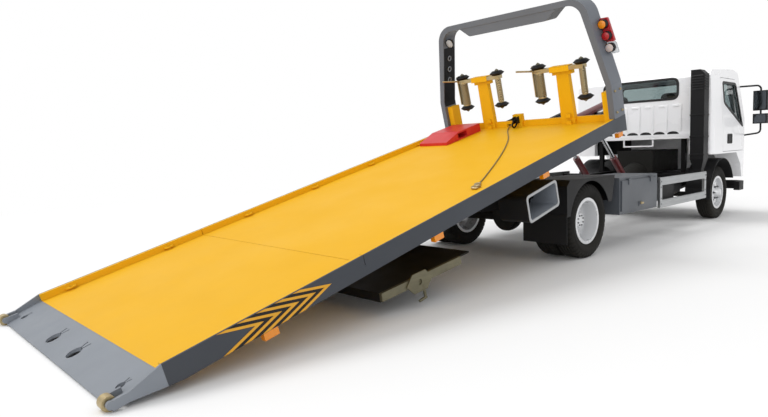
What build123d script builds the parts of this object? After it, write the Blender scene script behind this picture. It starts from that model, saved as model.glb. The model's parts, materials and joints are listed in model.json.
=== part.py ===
from build123d import *
import math
import os

# Slide-bed tow truck with its bed run back and its tail on the ground
# Frame: +X forwards, +Y to the left, +Z up, millimetres. The origin is on the ground under the
# middle of the whole length. The bed is modelled level and forward, as it is driven, and is then
# set at its rest pose: slid back along the tilt frame and tilted about the pivot at the chassis end.

# Driving dimensions: wheels and chassis
WHEELBASE = 3920.0
FRONT_OVERHANG = 1060.0
TYRE_R = 385.0
TYRE_W = 215.0
BEAD_R = 222.0
DUAL_SPACING = 245.0
REAR_OUTER_TYRE_Y = 905.0
KINGPIN_Y = 800.0
SCRUB = 77.5
FRAME_HALF_W = 410.0
FRAME_TOP_Z = 720.0
FRAME_H = 180.0
RAIL_FLANGE = 65.0
RAIL_T = 8.0
RUN_GAP = 0.3

# Driving dimensions: bed and tilt frame, level and forward
PIVOT_BACK = 1100.0
PIVOT_Z = 700.0
PIVOT_R = 30.0
TILT = 14.4
DECK_Z = 997.0
BED_FRONT_AHEAD = 2720.0
DECK_LENGTH = 5240.0
TAIL_PLATE_L = 275.0
TAIL_PLATE_DROP = 8.0
DECK_HALF_W = 1145.0
ROLLER_R = 38.0
ROLLER_DROP = 15.0

SIN_T = math.sin(math.radians(TILT))
COS_T = math.cos(math.radians(TILT))

# The slide is as long as it takes to bring the tail rollers down to the ground
roller_ahead = BED_FRONT_AHEAD - DECK_LENGTH - TAIL_PLATE_L
roller_lift = DECK_Z - ROLLER_DROP - PIVOT_Z
SLIDE = roller_ahead + PIVOT_BACK + (PIVOT_Z + roller_lift * COS_T - ROLLER_R) / SIN_T
tail_ahead = -PIVOT_BACK + (roller_ahead - SLIDE + PIVOT_BACK) * COS_T - roller_lift * SIN_T - ROLLER_R
REAR_AXLE_X = -(tail_ahead + WHEELBASE + FRONT_OVERHANG) / 2

FRONT_AXLE_X = REAR_AXLE_X + WHEELBASE
NOSE_X = FRONT_AXLE_X + FRONT_OVERHANG
PIVOT_X = REAR_AXLE_X - PIVOT_BACK
BED_FRONT_X = REAR_AXLE_X + BED_FRONT_AHEAD
DECK_END_X = BED_FRONT_X - DECK_LENGTH
FRAME_BOTTOM_Z = FRAME_TOP_Z - FRAME_H
FRAME_REAR_X = PIVOT_X + 90.0
FRAME_FRONT_X = NOSE_X - 330.0
RAIL_INNER_Y = FRAME_HALF_W - RAIL_FLANGE

pivot = Location((PIVOT_X, 0, PIVOT_Z))
TILT_POSE = pivot * Location((0, 0, 0), (0, -TILT, 0)) * pivot.inverse()
BED_POSE = TILT_POSE * Location((-SLIDE, 0, 0))
LEVEL = Location((0, 0, 0))


def save(name, shape, pose=LEVEL):
    """Writes one sub-part at its rest pose."""
    placed = shape.moved(pose)
    placed.label = name
    export_step(placed, f"parts/{name}.step")


def block(xs, ys, zs, mode=Mode.ADD):
    """A box between two stations on each axis, in the part being built."""
    middle = [(low + high) / 2 for low, high in (xs, ys, zs)]
    with Locations(tuple(middle)):
        Box(xs[1] - xs[0], ys[1] - ys[0], zs[1] - zs[0], mode=mode)


def cross_pin(x, z, radius, ys, mode=Mode.ADD):
    """A round bar across the truck between two Y stations."""
    with Locations(Location((x, (ys[0] + ys[1]) / 2, z), (90, 0, 0))):
        Cylinder(radius, ys[1] - ys[0], mode=mode)


def tube_between(start, end, radius, mode=Mode.ADD):
    """A round bar from one point to another, in the part being built."""
    run = Vector(*end) - Vector(*start)
    with Locations(Plane(origin=start, z_dir=run)):
        Cylinder(radius, run.length, align=(Align.CENTER, Align.CENTER, Align.MIN), mode=mode)


def span(middle, length):
    """The two stations of a length about its middle."""
    return (middle - length / 2, middle + length / 2)


def both_sides(low, high):
    """The same Y stations on the left and on the right."""
    return ((low, high), (-high, -low))


os.makedirs("parts", exist_ok=True)

# Chassis frame: two channel rails, cross-members, pivot ears and brackets
PIVOT_EAR_T = 12.0
REST_PAD_H = 11.0
BRACKET_T = 40.0
CYL_Y = 270.0
CYL_BASE_X = REAR_AXLE_X + 2450.0
CYL_BASE_Z = 612.0
CYL_EAR_T = 14.0
CYL_EYE_W = 60.0
CYL_PIN_R = 18.0
SIDE_Y = 1050.0
CROSS_W = 70.0
REST_PAD_L = 120.0
cross_members = [FRAME_REAR_X + 60, REAR_AXLE_X - 480, REAR_AXLE_X + 620, REAR_AXLE_X + 1250,
                 FRAME_FRONT_X - 40]
guard_brackets = [REAR_AXLE_X + 1800, REAR_AXLE_X + 3000]
rest_pads = [REAR_AXLE_X - 500, REAR_AXLE_X + 700, REAR_AXLE_X + 2100]
GUARD_TOP_Z = 730.0
GUARD_BOTTOM_Z = 365.0
GUARD_RAIL_H = 92.0
GUARD_T = 32.0

FENDER_TOP_Z = 830.0
FRONT_GUARD_R = TYRE_R + 112.0
SHEET = 8.0
STAY_R = 16.0
STAY_ANGLE = math.radians(150)
front_stay = FRONT_GUARD_R + SHEET + RUN_GAP + STAY_R
front_stay_x = FRONT_AXLE_X + front_stay * math.cos(STAY_ANGLE)
front_stay_z = TYRE_R + front_stay * math.sin(STAY_ANGLE)
rear_stay_z = FENDER_TOP_Z - SHEET - RUN_GAP - STAY_R
# columns: station along, height, inner end, outer end
guard_stays = [(REAR_AXLE_X + 300, rear_stay_z, 520.0, 960.0), (REAR_AXLE_X - 300, rear_stay_z, 520.0, 960.0),
               (front_stay_x, front_stay_z, 560.0, 960.0)]
HINGE_X = NOSE_X - 85.0
HINGE_Z = 470.0
HINGE_PIN_R = 20.0
HINGE_PLATE_T = 28.0
HINGE_LUG_W = 50.0
CAB_REAR_X = FRONT_AXLE_X - 470.0
CAB_POST_X = CAB_REAR_X + 70.0
CAB_POST_Y = 630.0
TUNNEL_Z = 1215.0

web_y = FRAME_HALF_W - RAIL_T - RUN_GAP
with BuildPart() as chassis_frame:
    for side in (1, -1):
        with BuildSketch(Plane.YZ.offset(FRAME_REAR_X)):
            with BuildLine():
                web, lip = side * FRAME_HALF_W, side * RAIL_INNER_Y
                inner_web = side * (FRAME_HALF_W - RAIL_T)
                Polyline(
                    (web, FRAME_BOTTOM_Z), (web, FRAME_TOP_Z), (lip, FRAME_TOP_Z),
                    (lip, FRAME_TOP_Z - RAIL_T), (inner_web, FRAME_TOP_Z - RAIL_T),
                    (inner_web, FRAME_BOTTOM_Z + RAIL_T), (lip, FRAME_BOTTOM_Z + RAIL_T),
                    (lip, FRAME_BOTTOM_Z), close=True,
                )
            make_face()
        extrude(amount=FRAME_FRONT_X - FRAME_REAR_X)
    for ys in both_sides(RAIL_INNER_Y, FRAME_HALF_W):
        for x in rest_pads:
            block(span(x, REST_PAD_L), ys, (FRAME_TOP_Z, FRAME_TOP_Z + REST_PAD_H))
    # Ears of the bed's pivot, and its pin in their bores
    for ys in both_sides(FRAME_HALF_W, FRAME_HALF_W + PIVOT_EAR_T):
        block((PIVOT_X - 80, FRAME_REAR_X + 300), ys, (FRAME_BOTTOM_Z + 20, PIVOT_Z + 55))
        cross_pin(PIVOT_X, PIVOT_Z, PIVOT_R + RUN_GAP, ys, mode=Mode.SUBTRACT)
    pivot_half = FRAME_HALF_W + PIVOT_EAR_T + 10
    cross_pin(PIVOT_X, PIVOT_Z, PIVOT_R, (-pivot_half, pivot_half))
    for x in cross_members:
        block(span(x, CROSS_W), (-web_y, web_y), (FRAME_BOTTOM_Z + 30, FRAME_TOP_Z - 40))
    # Brackets that carry the side guards
    for ys in both_sides(FRAME_HALF_W + RUN_GAP, SIDE_Y - GUARD_T - RUN_GAP):
        for x in guard_brackets:
            block(span(x, BRACKET_T), ys, (GUARD_TOP_Z - 70, GUARD_TOP_Z - 30))
    # Stays of the mudguards, just under or outside their sheets
    for x, z, inner_y, outer_y in guard_stays:
        low = min(z, FRAME_TOP_Z - 60) - STAY_R
        high = max(z, FRAME_BOTTOM_Z + 60) + STAY_R
        for ys in both_sides(inner_y, outer_y):
            cross_pin(x, z, STAY_R, ys)
        for ys in both_sides(FRAME_HALF_W + RUN_GAP, inner_y + 8):
            block(span(x, 2 * STAY_R), ys, (low, high))
    # Plates with the cab's hinge pins in front, and posts that carry its rear
    for ys in both_sides(FRAME_HALF_W + RUN_GAP, FRAME_HALF_W + HINGE_PLATE_T):
        block((FRAME_FRONT_X - 150, FRAME_FRONT_X - 10), ys, (HINGE_Z - 35, FRAME_TOP_Z - 60))
        block((FRAME_FRONT_X - 150, HINGE_X + 35), ys, span(HINGE_Z, 70))
    for ys in both_sides(FRAME_HALF_W + RUN_GAP, FRAME_HALF_W + HINGE_PLATE_T + HINGE_LUG_W + 12):
        cross_pin(HINGE_X, HINGE_Z, HINGE_PIN_R, ys)
    for ys in both_sides(FRAME_HALF_W + RUN_GAP, CAB_POST_Y + 30):
        block(span(CAB_POST_X, 60), ys, (FRAME_TOP_Z - 60, FRAME_TOP_Z - 10))
    for ys in both_sides(CAB_POST_Y - 30, CAB_POST_Y + 30):
        block(span(CAB_POST_X, 60), ys, (FRAME_TOP_Z - 60, TUNNEL_Z - RUN_GAP))
    # Clevises that carry the feet of the two tilt cylinders
    block((CYL_BASE_X + 60, CYL_BASE_X + 110), (-web_y, web_y), (FRAME_BOTTOM_Z + 10, FRAME_TOP_Z - 10))
    block((CYL_BASE_X + 50, CYL_BASE_X + 120), (-90, 90), (FRAME_BOTTOM_Z, FRAME_TOP_Z - 50),
          mode=Mode.SUBTRACT)
    for middle in (CYL_Y, -CYL_Y):
        for outward in (-1, 1):
            ear = middle + outward * (CYL_EYE_W / 2 + 1 + CYL_EAR_T / 2)
            block((CYL_BASE_X - 45, CYL_BASE_X + 61), span(ear, CYL_EAR_T), span(CYL_BASE_Z, 100))
    cross_pin(CYL_BASE_X, CYL_BASE_Z, CYL_PIN_R + RUN_GAP, (-web_y, web_y), mode=Mode.SUBTRACT)
save("chassis_frame", chassis_frame.part)

# Axles: forged front beam with kingpin bosses, and a banjo rear axle
KINGPIN_R = 18.0
BOSS_R = 36.0
BOSS_H = 100.0
BEAM_DROP = 40.0
AXLE_TUBE_R = 60.0
SPINDLE_R = 45.0
SPRING_Y = (FRAME_HALF_W + RAIL_INNER_Y) / 2
SPRING_W = 70.0
SPRING_T = 42.0
FRONT_SPRING_SEAT_Z = TYRE_R + 25
REAR_SPRING_SEAT_Z = TYRE_R + AXLE_TUBE_R + 10
DUAL_MID_Y = REAR_OUTER_TYRE_Y - DUAL_SPACING / 2
HUB_R = 105.0

with BuildPart() as axles:
    beam_z = (TYRE_R - BEAM_DROP - 35, TYRE_R - BEAM_DROP + 35)
    block(span(FRONT_AXLE_X, 80), (-KINGPIN_Y + 150, KINGPIN_Y - 150), beam_z)
    for side in (1, -1):
        with BuildSketch(Plane.XZ.offset(-side * (KINGPIN_Y - 150))):
            with Locations((FRONT_AXLE_X, TYRE_R - BEAM_DROP)):
                Rectangle(80, 70)
        with BuildSketch(Plane.XZ.offset(-side * (KINGPIN_Y - 20))):
            with Locations((FRONT_AXLE_X, TYRE_R)):
                Rectangle(52, 80)
        loft()
        with Locations((FRONT_AXLE_X, side * KINGPIN_Y, TYRE_R)):
            Cylinder(BOSS_R, BOSS_H)
        with Locations((FRONT_AXLE_X, side * KINGPIN_Y, TYRE_R)):
            Cylinder(KINGPIN_R + RUN_GAP, BOSS_H + 2, mode=Mode.SUBTRACT)
        seat = both_sides(SPRING_Y - SPRING_W / 2, SPRING_Y + SPRING_W / 2)[0 if side > 0 else 1]
        block(span(FRONT_AXLE_X, 110), seat, (beam_z[1] - 1, FRONT_SPRING_SEAT_Z))
    cross_pin(REAR_AXLE_X, TYRE_R, AXLE_TUBE_R, (-DUAL_MID_Y + 190, DUAL_MID_Y - 190))
    cross_pin(REAR_AXLE_X, TYRE_R, SPINDLE_R, (-DUAL_MID_Y - 60, DUAL_MID_Y + 60))
    with Locations((REAR_AXLE_X, 0, TYRE_R)):
        Sphere(175)
    with Locations((REAR_AXLE_X - 150, 0, TYRE_R)):
        Box(220, 600, 600, mode=Mode.SUBTRACT)
    with Locations(Location((REAR_AXLE_X - 40, 0, TYRE_R), (0, 90, 0))):
        Cylinder(150, 60)
    with Locations(Location((REAR_AXLE_X + 190, 0, TYRE_R + 10), (0, 90, 0))):
        Cone(90, 55, 110)
    cross_pin(REAR_AXLE_X, TYRE_R, AXLE_TUBE_R, (-DUAL_MID_Y + 190, DUAL_MID_Y - 190))
    for ys in both_sides(SPRING_Y - SPRING_W / 2, SPRING_Y + SPRING_W / 2):
        block(span(REAR_AXLE_X, 110), ys, (TYRE_R, REAR_SPRING_SEAT_Z))
save("axles", axles.part)

# Leaf springs: one arched pack at each wheel, with its two hangers on the frame rail
# columns: axle station, seat height, half length
spring_table = [(FRONT_AXLE_X, FRONT_SPRING_SEAT_Z, 560.0), (REAR_AXLE_X, REAR_SPRING_SEAT_Z, 620.0)]
with BuildPart() as leaf_springs:
    for axle_x, seat_z, half in spring_table:
        eye_z = FRAME_BOTTOM_Z - 28
        for middle in (SPRING_Y, -SPRING_Y):
            with BuildSketch(Plane.XZ.offset(-middle)):
                with BuildLine():
                    low, high = seat_z + RUN_GAP, seat_z + RUN_GAP + SPRING_T
                    ThreePointArc((axle_x - half, eye_z - 8), (axle_x, low), (axle_x + half, eye_z - 8))
                    Line((axle_x + half, eye_z - 8), (axle_x + half, eye_z + 8))
                    ThreePointArc((axle_x + half, eye_z + 8), (axle_x, high), (axle_x - half, eye_z + 8))
                    Line((axle_x - half, eye_z + 8), (axle_x - half, eye_z - 8))
                make_face()
            extrude(amount=SPRING_W / 2, both=True)
            for x in (axle_x - half, axle_x + half):
                block(span(x, 60), span(middle, SPRING_W - 6), (eye_z - 26, FRAME_BOTTOM_Z - RUN_GAP))
save("leaf_springs", leaf_springs.part)

# Drive line: engine and gearbox as plain masses, propeller shaft to the rear axle
ENGINE_X = (FRONT_AXLE_X - 620, FRONT_AXLE_X + 330)
ENGINE_Z = (560.0, 1030.0)
GEARBOX_X = (FRONT_AXLE_X - 1180, FRONT_AXLE_X - 620)
SHAFT_R = 42.0
with BuildPart() as drive_line:
    block(ENGINE_X, (-270, 270), ENGINE_Z)
    block((ENGINE_X[0] + 60, ENGINE_X[1] - 120), (-180, 180), (ENGINE_Z[0] - 130, ENGINE_Z[0]))
    with BuildSketch(Plane.YZ.offset(GEARBOX_X[1])):
        with Locations((0, 650)):
            Circle(200)
    with BuildSketch(Plane.YZ.offset(GEARBOX_X[0])):
        with Locations((0, 610)):
            Circle(95)
    loft()
    tube_between((GEARBOX_X[0] + 5, 0, 610), (REAR_AXLE_X + 249, 0, TYRE_R + 12), SHAFT_R)
    for ys in both_sides(260, FRAME_HALF_W - RAIL_T - RUN_GAP):
        block(span(FRONT_AXLE_X - 200, 110), ys, (FRAME_BOTTOM_Z + 50, FRAME_BOTTOM_Z + 110))
save("drive_line", drive_line.part)

# Wheels: tyre and rim, made about the origin with the outside towards -Y
def make_tyres(middles):
    """Road tyres about the origin, each at its own station along the axle."""
    half, tread, bead = TYRE_W / 2, TYRE_W / 2 - 30, TYRE_W / 2 - 31.5
    with BuildPart() as tyres:
        for at in middles:
            with BuildSketch(Plane.XY):
                with BuildLine():
                    shoulder = TYRE_R - 15
                    wall = (BEAD_R + 20 + shoulder) / 2
                    Polyline((BEAD_R + 20, at + bead), (BEAD_R, at + bead), (BEAD_R, at - bead),
                             (BEAD_R + 20, at - bead))
                    ThreePointArc((BEAD_R + 20, at - bead), (wall, at - half), (shoulder, at - half + 16))
                    Polyline((shoulder, at - half + 16), (TYRE_R, at - tread), (TYRE_R, at + tread),
                             (shoulder, at + half - 16))
                    ThreePointArc((shoulder, at + half - 16), (wall, at + half), (BEAD_R + 20, at + bead))
                make_face()
            revolve(axis=Axis.Y)
    return tyres.part


RIM_T = 12.0
RIM_FLANGE = 10.0
RIM_HALF = TYRE_W / 2 - 31.5 + RUN_GAP + RIM_FLANGE


def rim_barrel(middle):
    """The rolled rim that carries one tyre, revolved about the wheel's axle."""
    seat, lip = BEAD_R - RUN_GAP, BEAD_R + 18
    with BuildSketch(Plane.XY) as section:
        with BuildLine():
            inner = RIM_HALF - RIM_FLANGE
            Polyline(
                (seat, middle + inner), (lip, middle + inner), (lip, middle + RIM_HALF),
                (seat - RIM_T, middle + RIM_HALF), (seat - RIM_T, middle - RIM_HALF),
                (lip, middle - RIM_HALF), (lip, middle - inner), (seat, middle - inner), close=True,
            )
        make_face()
    revolve(section.sketch, axis=Axis.Y)


HUB_BORE_R = 36.0
with BuildPart() as front_rim:
    rim_barrel(0)
    with BuildSketch(Plane.XY):
        with BuildLine():
            edge = BEAD_R - RUN_GAP - RIM_T + 1
            Polyline((0, -118), (52, -118), (62, -104), (78, -62), (150, -52), (190, -22), (edge, -20),
                     (edge, -4), (186, -6), (144, -36), (78, -44), (62, -24), (0, -24), close=True)
        make_face()
    revolve(axis=Axis.Y)
    with BuildSketch(Plane.XZ):
        with PolarLocations(132, 6):
            Circle(24)
    extrude(amount=120, mode=Mode.SUBTRACT)
    cross_pin(0, 0, HUB_BORE_R, (-90, -20), mode=Mode.SUBTRACT)

with BuildPart() as rear_rims:
    for middle in (DUAL_SPACING / 2, -DUAL_SPACING / 2):
        rim_barrel(middle)
    with BuildSketch(Plane.XY):
        with BuildLine():
            edge = BEAD_R - RUN_GAP - RIM_T + 1
            Polyline((0, -130), (70, -130), (84, -116), (84, -22), (150, -22), (178, -60), (edge, -62),
                     (edge, -46), (186, -44), (160, -8), (160, 8), (186, 44), (edge, 46), (edge, 62),
                     (178, 60), (150, 22), (HUB_R, 22), (HUB_R, 150), (0, 150), close=True)
        make_face()
    revolve(axis=Axis.Y)
    with BuildSketch(Plane.XZ.offset(-90)):
        with PolarLocations(124, 6):
            Circle(20)
    extrude(amount=180, mode=Mode.SUBTRACT)
    cross_pin(0, 0, SPINDLE_R + RUN_GAP, (-62, 151), mode=Mode.SUBTRACT)

FRONT_TYRE_Y = KINGPIN_Y + SCRUB
for side, side_name, turn in ((-1, "right", 0), (1, "left", 180)):
    front_place = Location((FRONT_AXLE_X, side * FRONT_TYRE_Y, TYRE_R), (0, 0, turn))
    rear_place = Location((REAR_AXLE_X, side * DUAL_MID_Y, TYRE_R), (0, 0, turn))
    save(f"front_tyre_{side_name}", make_tyres([0]), front_place)
    save(f"front_rim_{side_name}", front_rim.part, front_place)
    save(f"rear_tyres_{side_name}", make_tyres(span(0, DUAL_SPACING)), rear_place)
    save(f"rear_rims_{side_name}", rear_rims.part, rear_place)

# Steering knuckles: ears above and below the axle boss, kingpin and wheel spindle
for side, side_name in ((-1, "right"), (1, "left")):
    with BuildPart() as knuckle:
        y = side * KINGPIN_Y
        for low, high in ((BOSS_H / 2 + RUN_GAP, BOSS_H / 2 + 26), (-BOSS_H / 2 - 26, -BOSS_H / 2 - RUN_GAP)):
            with Locations((FRONT_AXLE_X, y, TYRE_R + (low + high) / 2)):
                Cylinder(BOSS_R + 2, high - low)
            block(span(FRONT_AXLE_X, 60), tuple(sorted((y, y + side * 62))), (TYRE_R + low, TYRE_R + high))
        with Locations((FRONT_AXLE_X, y, TYRE_R)):
            Cylinder(KINGPIN_R, BOSS_H + 40)
        block(span(FRONT_AXLE_X, 60), tuple(sorted((y + side * (BOSS_R + 8), y + side * 66))),
              span(TYRE_R, BOSS_H + 52))
        cross_pin(FRONT_AXLE_X, TYRE_R, HUB_BORE_R - RUN_GAP,
                  tuple(sorted((y + side * 60, y + side * (SCRUB + 84)))))
    save(f"knuckle_{side_name}", knuckle.part)

# Toolbox on the right and fuel tank on the left, hung on the frame rails
BOX_X = (REAR_AXLE_X + 620.0, REAR_AXLE_X + 1600.0)
BOX_Z = (385.0, 790.0)
BOX_DEPTH = 520.0
BOX_WALL = 12.0
LID_T = 14.0
LID_MARGIN = 34.0
BOX_FACE_Y = SIDE_Y - LID_T - 0.8
LID_TOP_Z = BOX_Z[1] - LID_MARGIN
LID_BARREL_R = 8.0
LID_PIN_R = 4.0
LID_AXIS_Y = SIDE_Y + LID_BARREL_R
LID_AXIS_Z = LID_TOP_Z + LID_BARREL_R
lid_hinges = [BOX_X[0] + 210, BOX_X[1] - 210]
with BuildPart() as toolbox:
    block(BOX_X, (-BOX_FACE_Y, -BOX_FACE_Y + BOX_DEPTH), BOX_Z)
    inner_x = (BOX_X[0] + BOX_WALL, BOX_X[1] - BOX_WALL)
    block(inner_x, (-BOX_FACE_Y + BOX_WALL, -BOX_FACE_Y + BOX_DEPTH - BOX_WALL),
          (BOX_Z[0] + BOX_WALL, BOX_Z[1] - BOX_WALL), mode=Mode.SUBTRACT)
    block((BOX_X[0] + 60, BOX_X[1] - 60), (-BOX_FACE_Y - 1, -BOX_FACE_Y + BOX_WALL + 1),
          (BOX_Z[0] + 60, BOX_Z[1] - 70), mode=Mode.SUBTRACT)
    for x in (BOX_X[0] + 150, BOX_X[1] - 150):
        block(span(x, 60), (-BOX_FACE_Y + BOX_DEPTH - 1, -FRAME_HALF_W - PIVOT_EAR_T / 2 + 6 - RUN_GAP),
              (600, 680))
    for x in lid_hinges:
        for outward in (-1, 1):
            knuckle_x = x + outward * 33
            block(span(knuckle_x, 14), (-LID_AXIS_Y, -BOX_FACE_Y + 1), span(LID_AXIS_Z + 4, 8))
            with Locations(Location((knuckle_x, -LID_AXIS_Y, LID_AXIS_Z), (0, 90, 0))):
                Cylinder(LID_BARREL_R, 14)
        with Locations(Location((x, -LID_AXIS_Y, LID_AXIS_Z), (0, 90, 0))):
            Cylinder(LID_PIN_R, 66)
save("toolbox", toolbox.part)

with BuildPart() as toolbox_lid:
    block((BOX_X[0] + LID_MARGIN, BOX_X[1] - LID_MARGIN), (-SIDE_Y, -SIDE_Y + LID_T),
          (BOX_Z[0] + LID_MARGIN, LID_TOP_Z))
    for x in lid_hinges:
        block(span(x, 50), (-LID_AXIS_Y - 2, -SIDE_Y + 1), (LID_TOP_Z - 50, LID_AXIS_Z))
        with Locations(Location((x, -LID_AXIS_Y, LID_AXIS_Z), (0, 90, 0))):
            Cylinder(LID_BARREL_R, 50)
            Cylinder(LID_PIN_R + RUN_GAP, 52, mode=Mode.SUBTRACT)
    block(span((BOX_X[0] + BOX_X[1]) / 2, 90), (-SIDE_Y - 8, -SIDE_Y + 1), (BOX_Z[0] + 60, BOX_Z[0] + 115))
save("toolbox_lid", toolbox_lid.part)

with BuildPart() as fuel_tank:
    with BuildSketch(Plane.YZ.offset(BOX_X[0])):
        with Locations(((470 + 1000) / 2, 575)):
            RectangleRounded(530, 400, 90)
    extrude(amount=BOX_X[1] - BOX_X[0])
    for x in (BOX_X[0] + 200, BOX_X[1] - 200):
        block(span(x, 50), (FRAME_HALF_W + RUN_GAP, 475), (560, 690))
    with Locations((BOX_X[1] - 90, 800, 785)):
        Cylinder(45, 50)
save("fuel_tank", fuel_tank.part)

# Side guards: aluminium rails in front of the rear wheels, each side
GUARD_X = (REAR_AXLE_X + 1660.0, REAR_AXLE_X + 3190.0)
with BuildPart() as side_guards:
    for ys in both_sides(SIDE_Y - GUARD_T, SIDE_Y):
        for low in (GUARD_BOTTOM_Z, GUARD_TOP_Z - GUARD_RAIL_H):
            block(GUARD_X, ys, (low, low + GUARD_RAIL_H))
        for x in (GUARD_X[0] + 30, GUARD_X[1] - 30):
            block(span(x, 60), ys, (GUARD_BOTTOM_Z, GUARD_TOP_Z))
save("side_guards", side_guards.part)

# Battery box and air tanks inside the right guard, on brackets from the rail
with BuildPart() as battery_box:
    block((GUARD_X[0] + 60, GUARD_X[0] + 720), (-930, -FRAME_HALF_W - RUN_GAP), (430, 640))
    tube_between((GUARD_X[0] + 860, -640, 525), (GUARD_X[1] - 80, -640, 525), 110)
    block((GUARD_X[0] + 950, GUARD_X[0] + 1010), (-640, -FRAME_HALF_W - RUN_GAP), (545, 625))
save("battery_box", battery_box.part)

# Mudguards: sheet arches over the wheels, mud flaps behind them
def arch_band(axle_x, radius, ys, start, end):
    """A bent sheet about a wheel, between two angles from straight ahead."""
    with BuildSketch(Plane.XZ.offset(-ys[1])) as band:
        with BuildLine():
            points = []
            for at in (radius, radius + SHEET):
                for angle in (start, (start + end) / 2, end):
                    turn = math.radians(angle)
                    points.append((axle_x + at * math.cos(turn), TYRE_R + at * math.sin(turn)))
            ThreePointArc(points[0], points[1], points[2])
            Line(points[2], points[5])
            ThreePointArc(points[5], points[4], points[3])
            Line(points[3], points[0])
        make_face()
    extrude(band.sketch, amount=ys[1] - ys[0])


FENDER_FRONT = 520.0
FENDER_BACK = 470.0
FENDER_BACK_Z = 470.0
FENDER_ARCH_R = TYRE_R + 30.0
FENDER_FOOT_Z = 560.0
FENDER_SLOPE = 65.0
FENDER_CUT = 60.0
FLAP_X = REAR_AXLE_X - FENDER_BACK + 1
FLAP_BOTTOM_Z = 200.0
front_x, back_x = REAR_AXLE_X + FENDER_FRONT, REAR_AXLE_X - FENDER_BACK
fender_line = [(front_x - FENDER_SLOPE, FENDER_FOOT_Z), (front_x, FENDER_TOP_Z),
               (back_x + FENDER_CUT, FENDER_TOP_Z), (back_x, FENDER_TOP_Z - FENDER_CUT),
               (back_x, FENDER_BACK_Z)]
under_line = [(back_x + SHEET, FENDER_BACK_Z), (back_x + SHEET, FENDER_TOP_Z - FENDER_CUT - 3),
              (back_x + FENDER_CUT + 3, FENDER_TOP_Z - SHEET), (front_x - SHEET - 2, FENDER_TOP_Z - SHEET),
              (front_x - FENDER_SLOPE - SHEET, FENDER_FOOT_Z)]
with BuildPart() as mudguards:
    inner = DUAL_MID_Y - DUAL_SPACING / 2 - TYRE_W / 2 - 20
    outer = REAR_OUTER_TYRE_Y + TYRE_W / 2 + 18
    for side in (1, -1):
        near, far = side * inner, side * outer
        with BuildSketch(Plane.XZ.offset(-near)) as bent_sheet:
            with BuildLine():
                Polyline(*fender_line, *under_line, close=True)
            make_face()
        extrude(bent_sheet.sketch, amount=near - far)
        with BuildSketch(Plane.XZ.offset(-far)) as valance:
            with BuildLine():
                Polyline(*fender_line, close=True)
            make_face()
            with Locations((REAR_AXLE_X, TYRE_R)):
                Circle(FENDER_ARCH_R, mode=Mode.SUBTRACT)
        extrude(valance.sketch, amount=side * SHEET)
        flap = both_sides(inner, outer)[0 if side > 0 else 1]
        block((FLAP_X - SHEET, FLAP_X), flap, (FLAP_BOTTOM_Z, FENDER_BACK_Z + 20))
    for ys in both_sides(KINGPIN_Y - 110, 1030):
        arch_band(FRONT_AXLE_X, FRONT_GUARD_R, ys, 22, 172)
        flap_x = FRONT_AXLE_X - FRONT_GUARD_R
        block((flap_x - SHEET, flap_x + 6), ys, (330, 470))
save("mudguards", mudguards.part)

# Air intake column behind the cab's right corner
INTAKE_X = (CAB_REAR_X - 235.0, CAB_REAR_X - 60.0)
INTAKE_Y = (-1000.0, -820.0)
INTAKE_TOP_Z = 2130.0
with BuildPart() as air_intake:
    block(INTAKE_X, INTAKE_Y, (900, INTAKE_TOP_Z))
    chamfer(air_intake.edges().group_by(Axis.Z)[-1].sort_by(Axis.Y)[0], 60)
    with BuildSketch(Plane.XY.offset(900)):
        with Locations(((INTAKE_X[0] + INTAKE_X[1]) / 2, (INTAKE_Y[0] + INTAKE_Y[1]) / 2)):
            Rectangle(INTAKE_X[1] - INTAKE_X[0], INTAKE_Y[1] - INTAKE_Y[0])
    with BuildSketch(Plane.XY.offset(760)):
        with Locations(((INTAKE_X[0] + INTAKE_X[1]) / 2, (INTAKE_Y[0] + INTAKE_Y[1]) / 2)):
            Rectangle(110, 110)
    loft()
    block(span((INTAKE_X[0] + INTAKE_X[1]) / 2, 110), span((INTAKE_Y[0] + INTAKE_Y[1]) / 2, 110), (600, 770))
    block(span((INTAKE_X[0] + INTAKE_X[1]) / 2, 110), (-880, -FRAME_HALF_W - RUN_GAP), (600, 700))
save("air_intake", air_intake.part)

# Cab: hollow shell cut from three outlines, with tunnel, window and door openings
CAB_HALF_W = 1045.0
CAB_FRONT_X = NOSE_X - 20.0
CAB_WALL = 50.0
CAB_SILL_Z = 955.0
CAB_CHIN_Z = 575.0
ROOF_REAR_Z = 2120.0
ROOF_Z = 2200.0
BELT_Z = 1280.0
TUMBLE = 65.0
CORNER_R = 180.0
TUNNEL_HALF_W = CAB_HALF_W - 325.0
TUNNEL_FRONT_X = CAB_FRONT_X - 190.0
CHIN_L = 250.0
REAR_CORNER_R = 60.0
ROOF_CORNER_R = 150.0
arch_x = CAB_FRONT_X - CHIN_L
side_outline = [
    (CAB_REAR_X, CAB_SILL_Z), (CAB_REAR_X, ROOF_REAR_Z - 60), (CAB_REAR_X + 60, ROOF_REAR_Z + 20),
    (CAB_FRONT_X - 480, ROOF_Z), (CAB_FRONT_X - 330, ROOF_Z - 50), (CAB_FRONT_X - 50, BELT_Z),
    (CAB_FRONT_X, BELT_Z - 160), (CAB_FRONT_X, CAB_CHIN_Z), (arch_x, CAB_CHIN_Z),
    (arch_x - 60, (CAB_CHIN_Z + CAB_SILL_Z) / 2 + 15), (arch_x - 260, CAB_SILL_Z),
]


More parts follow.
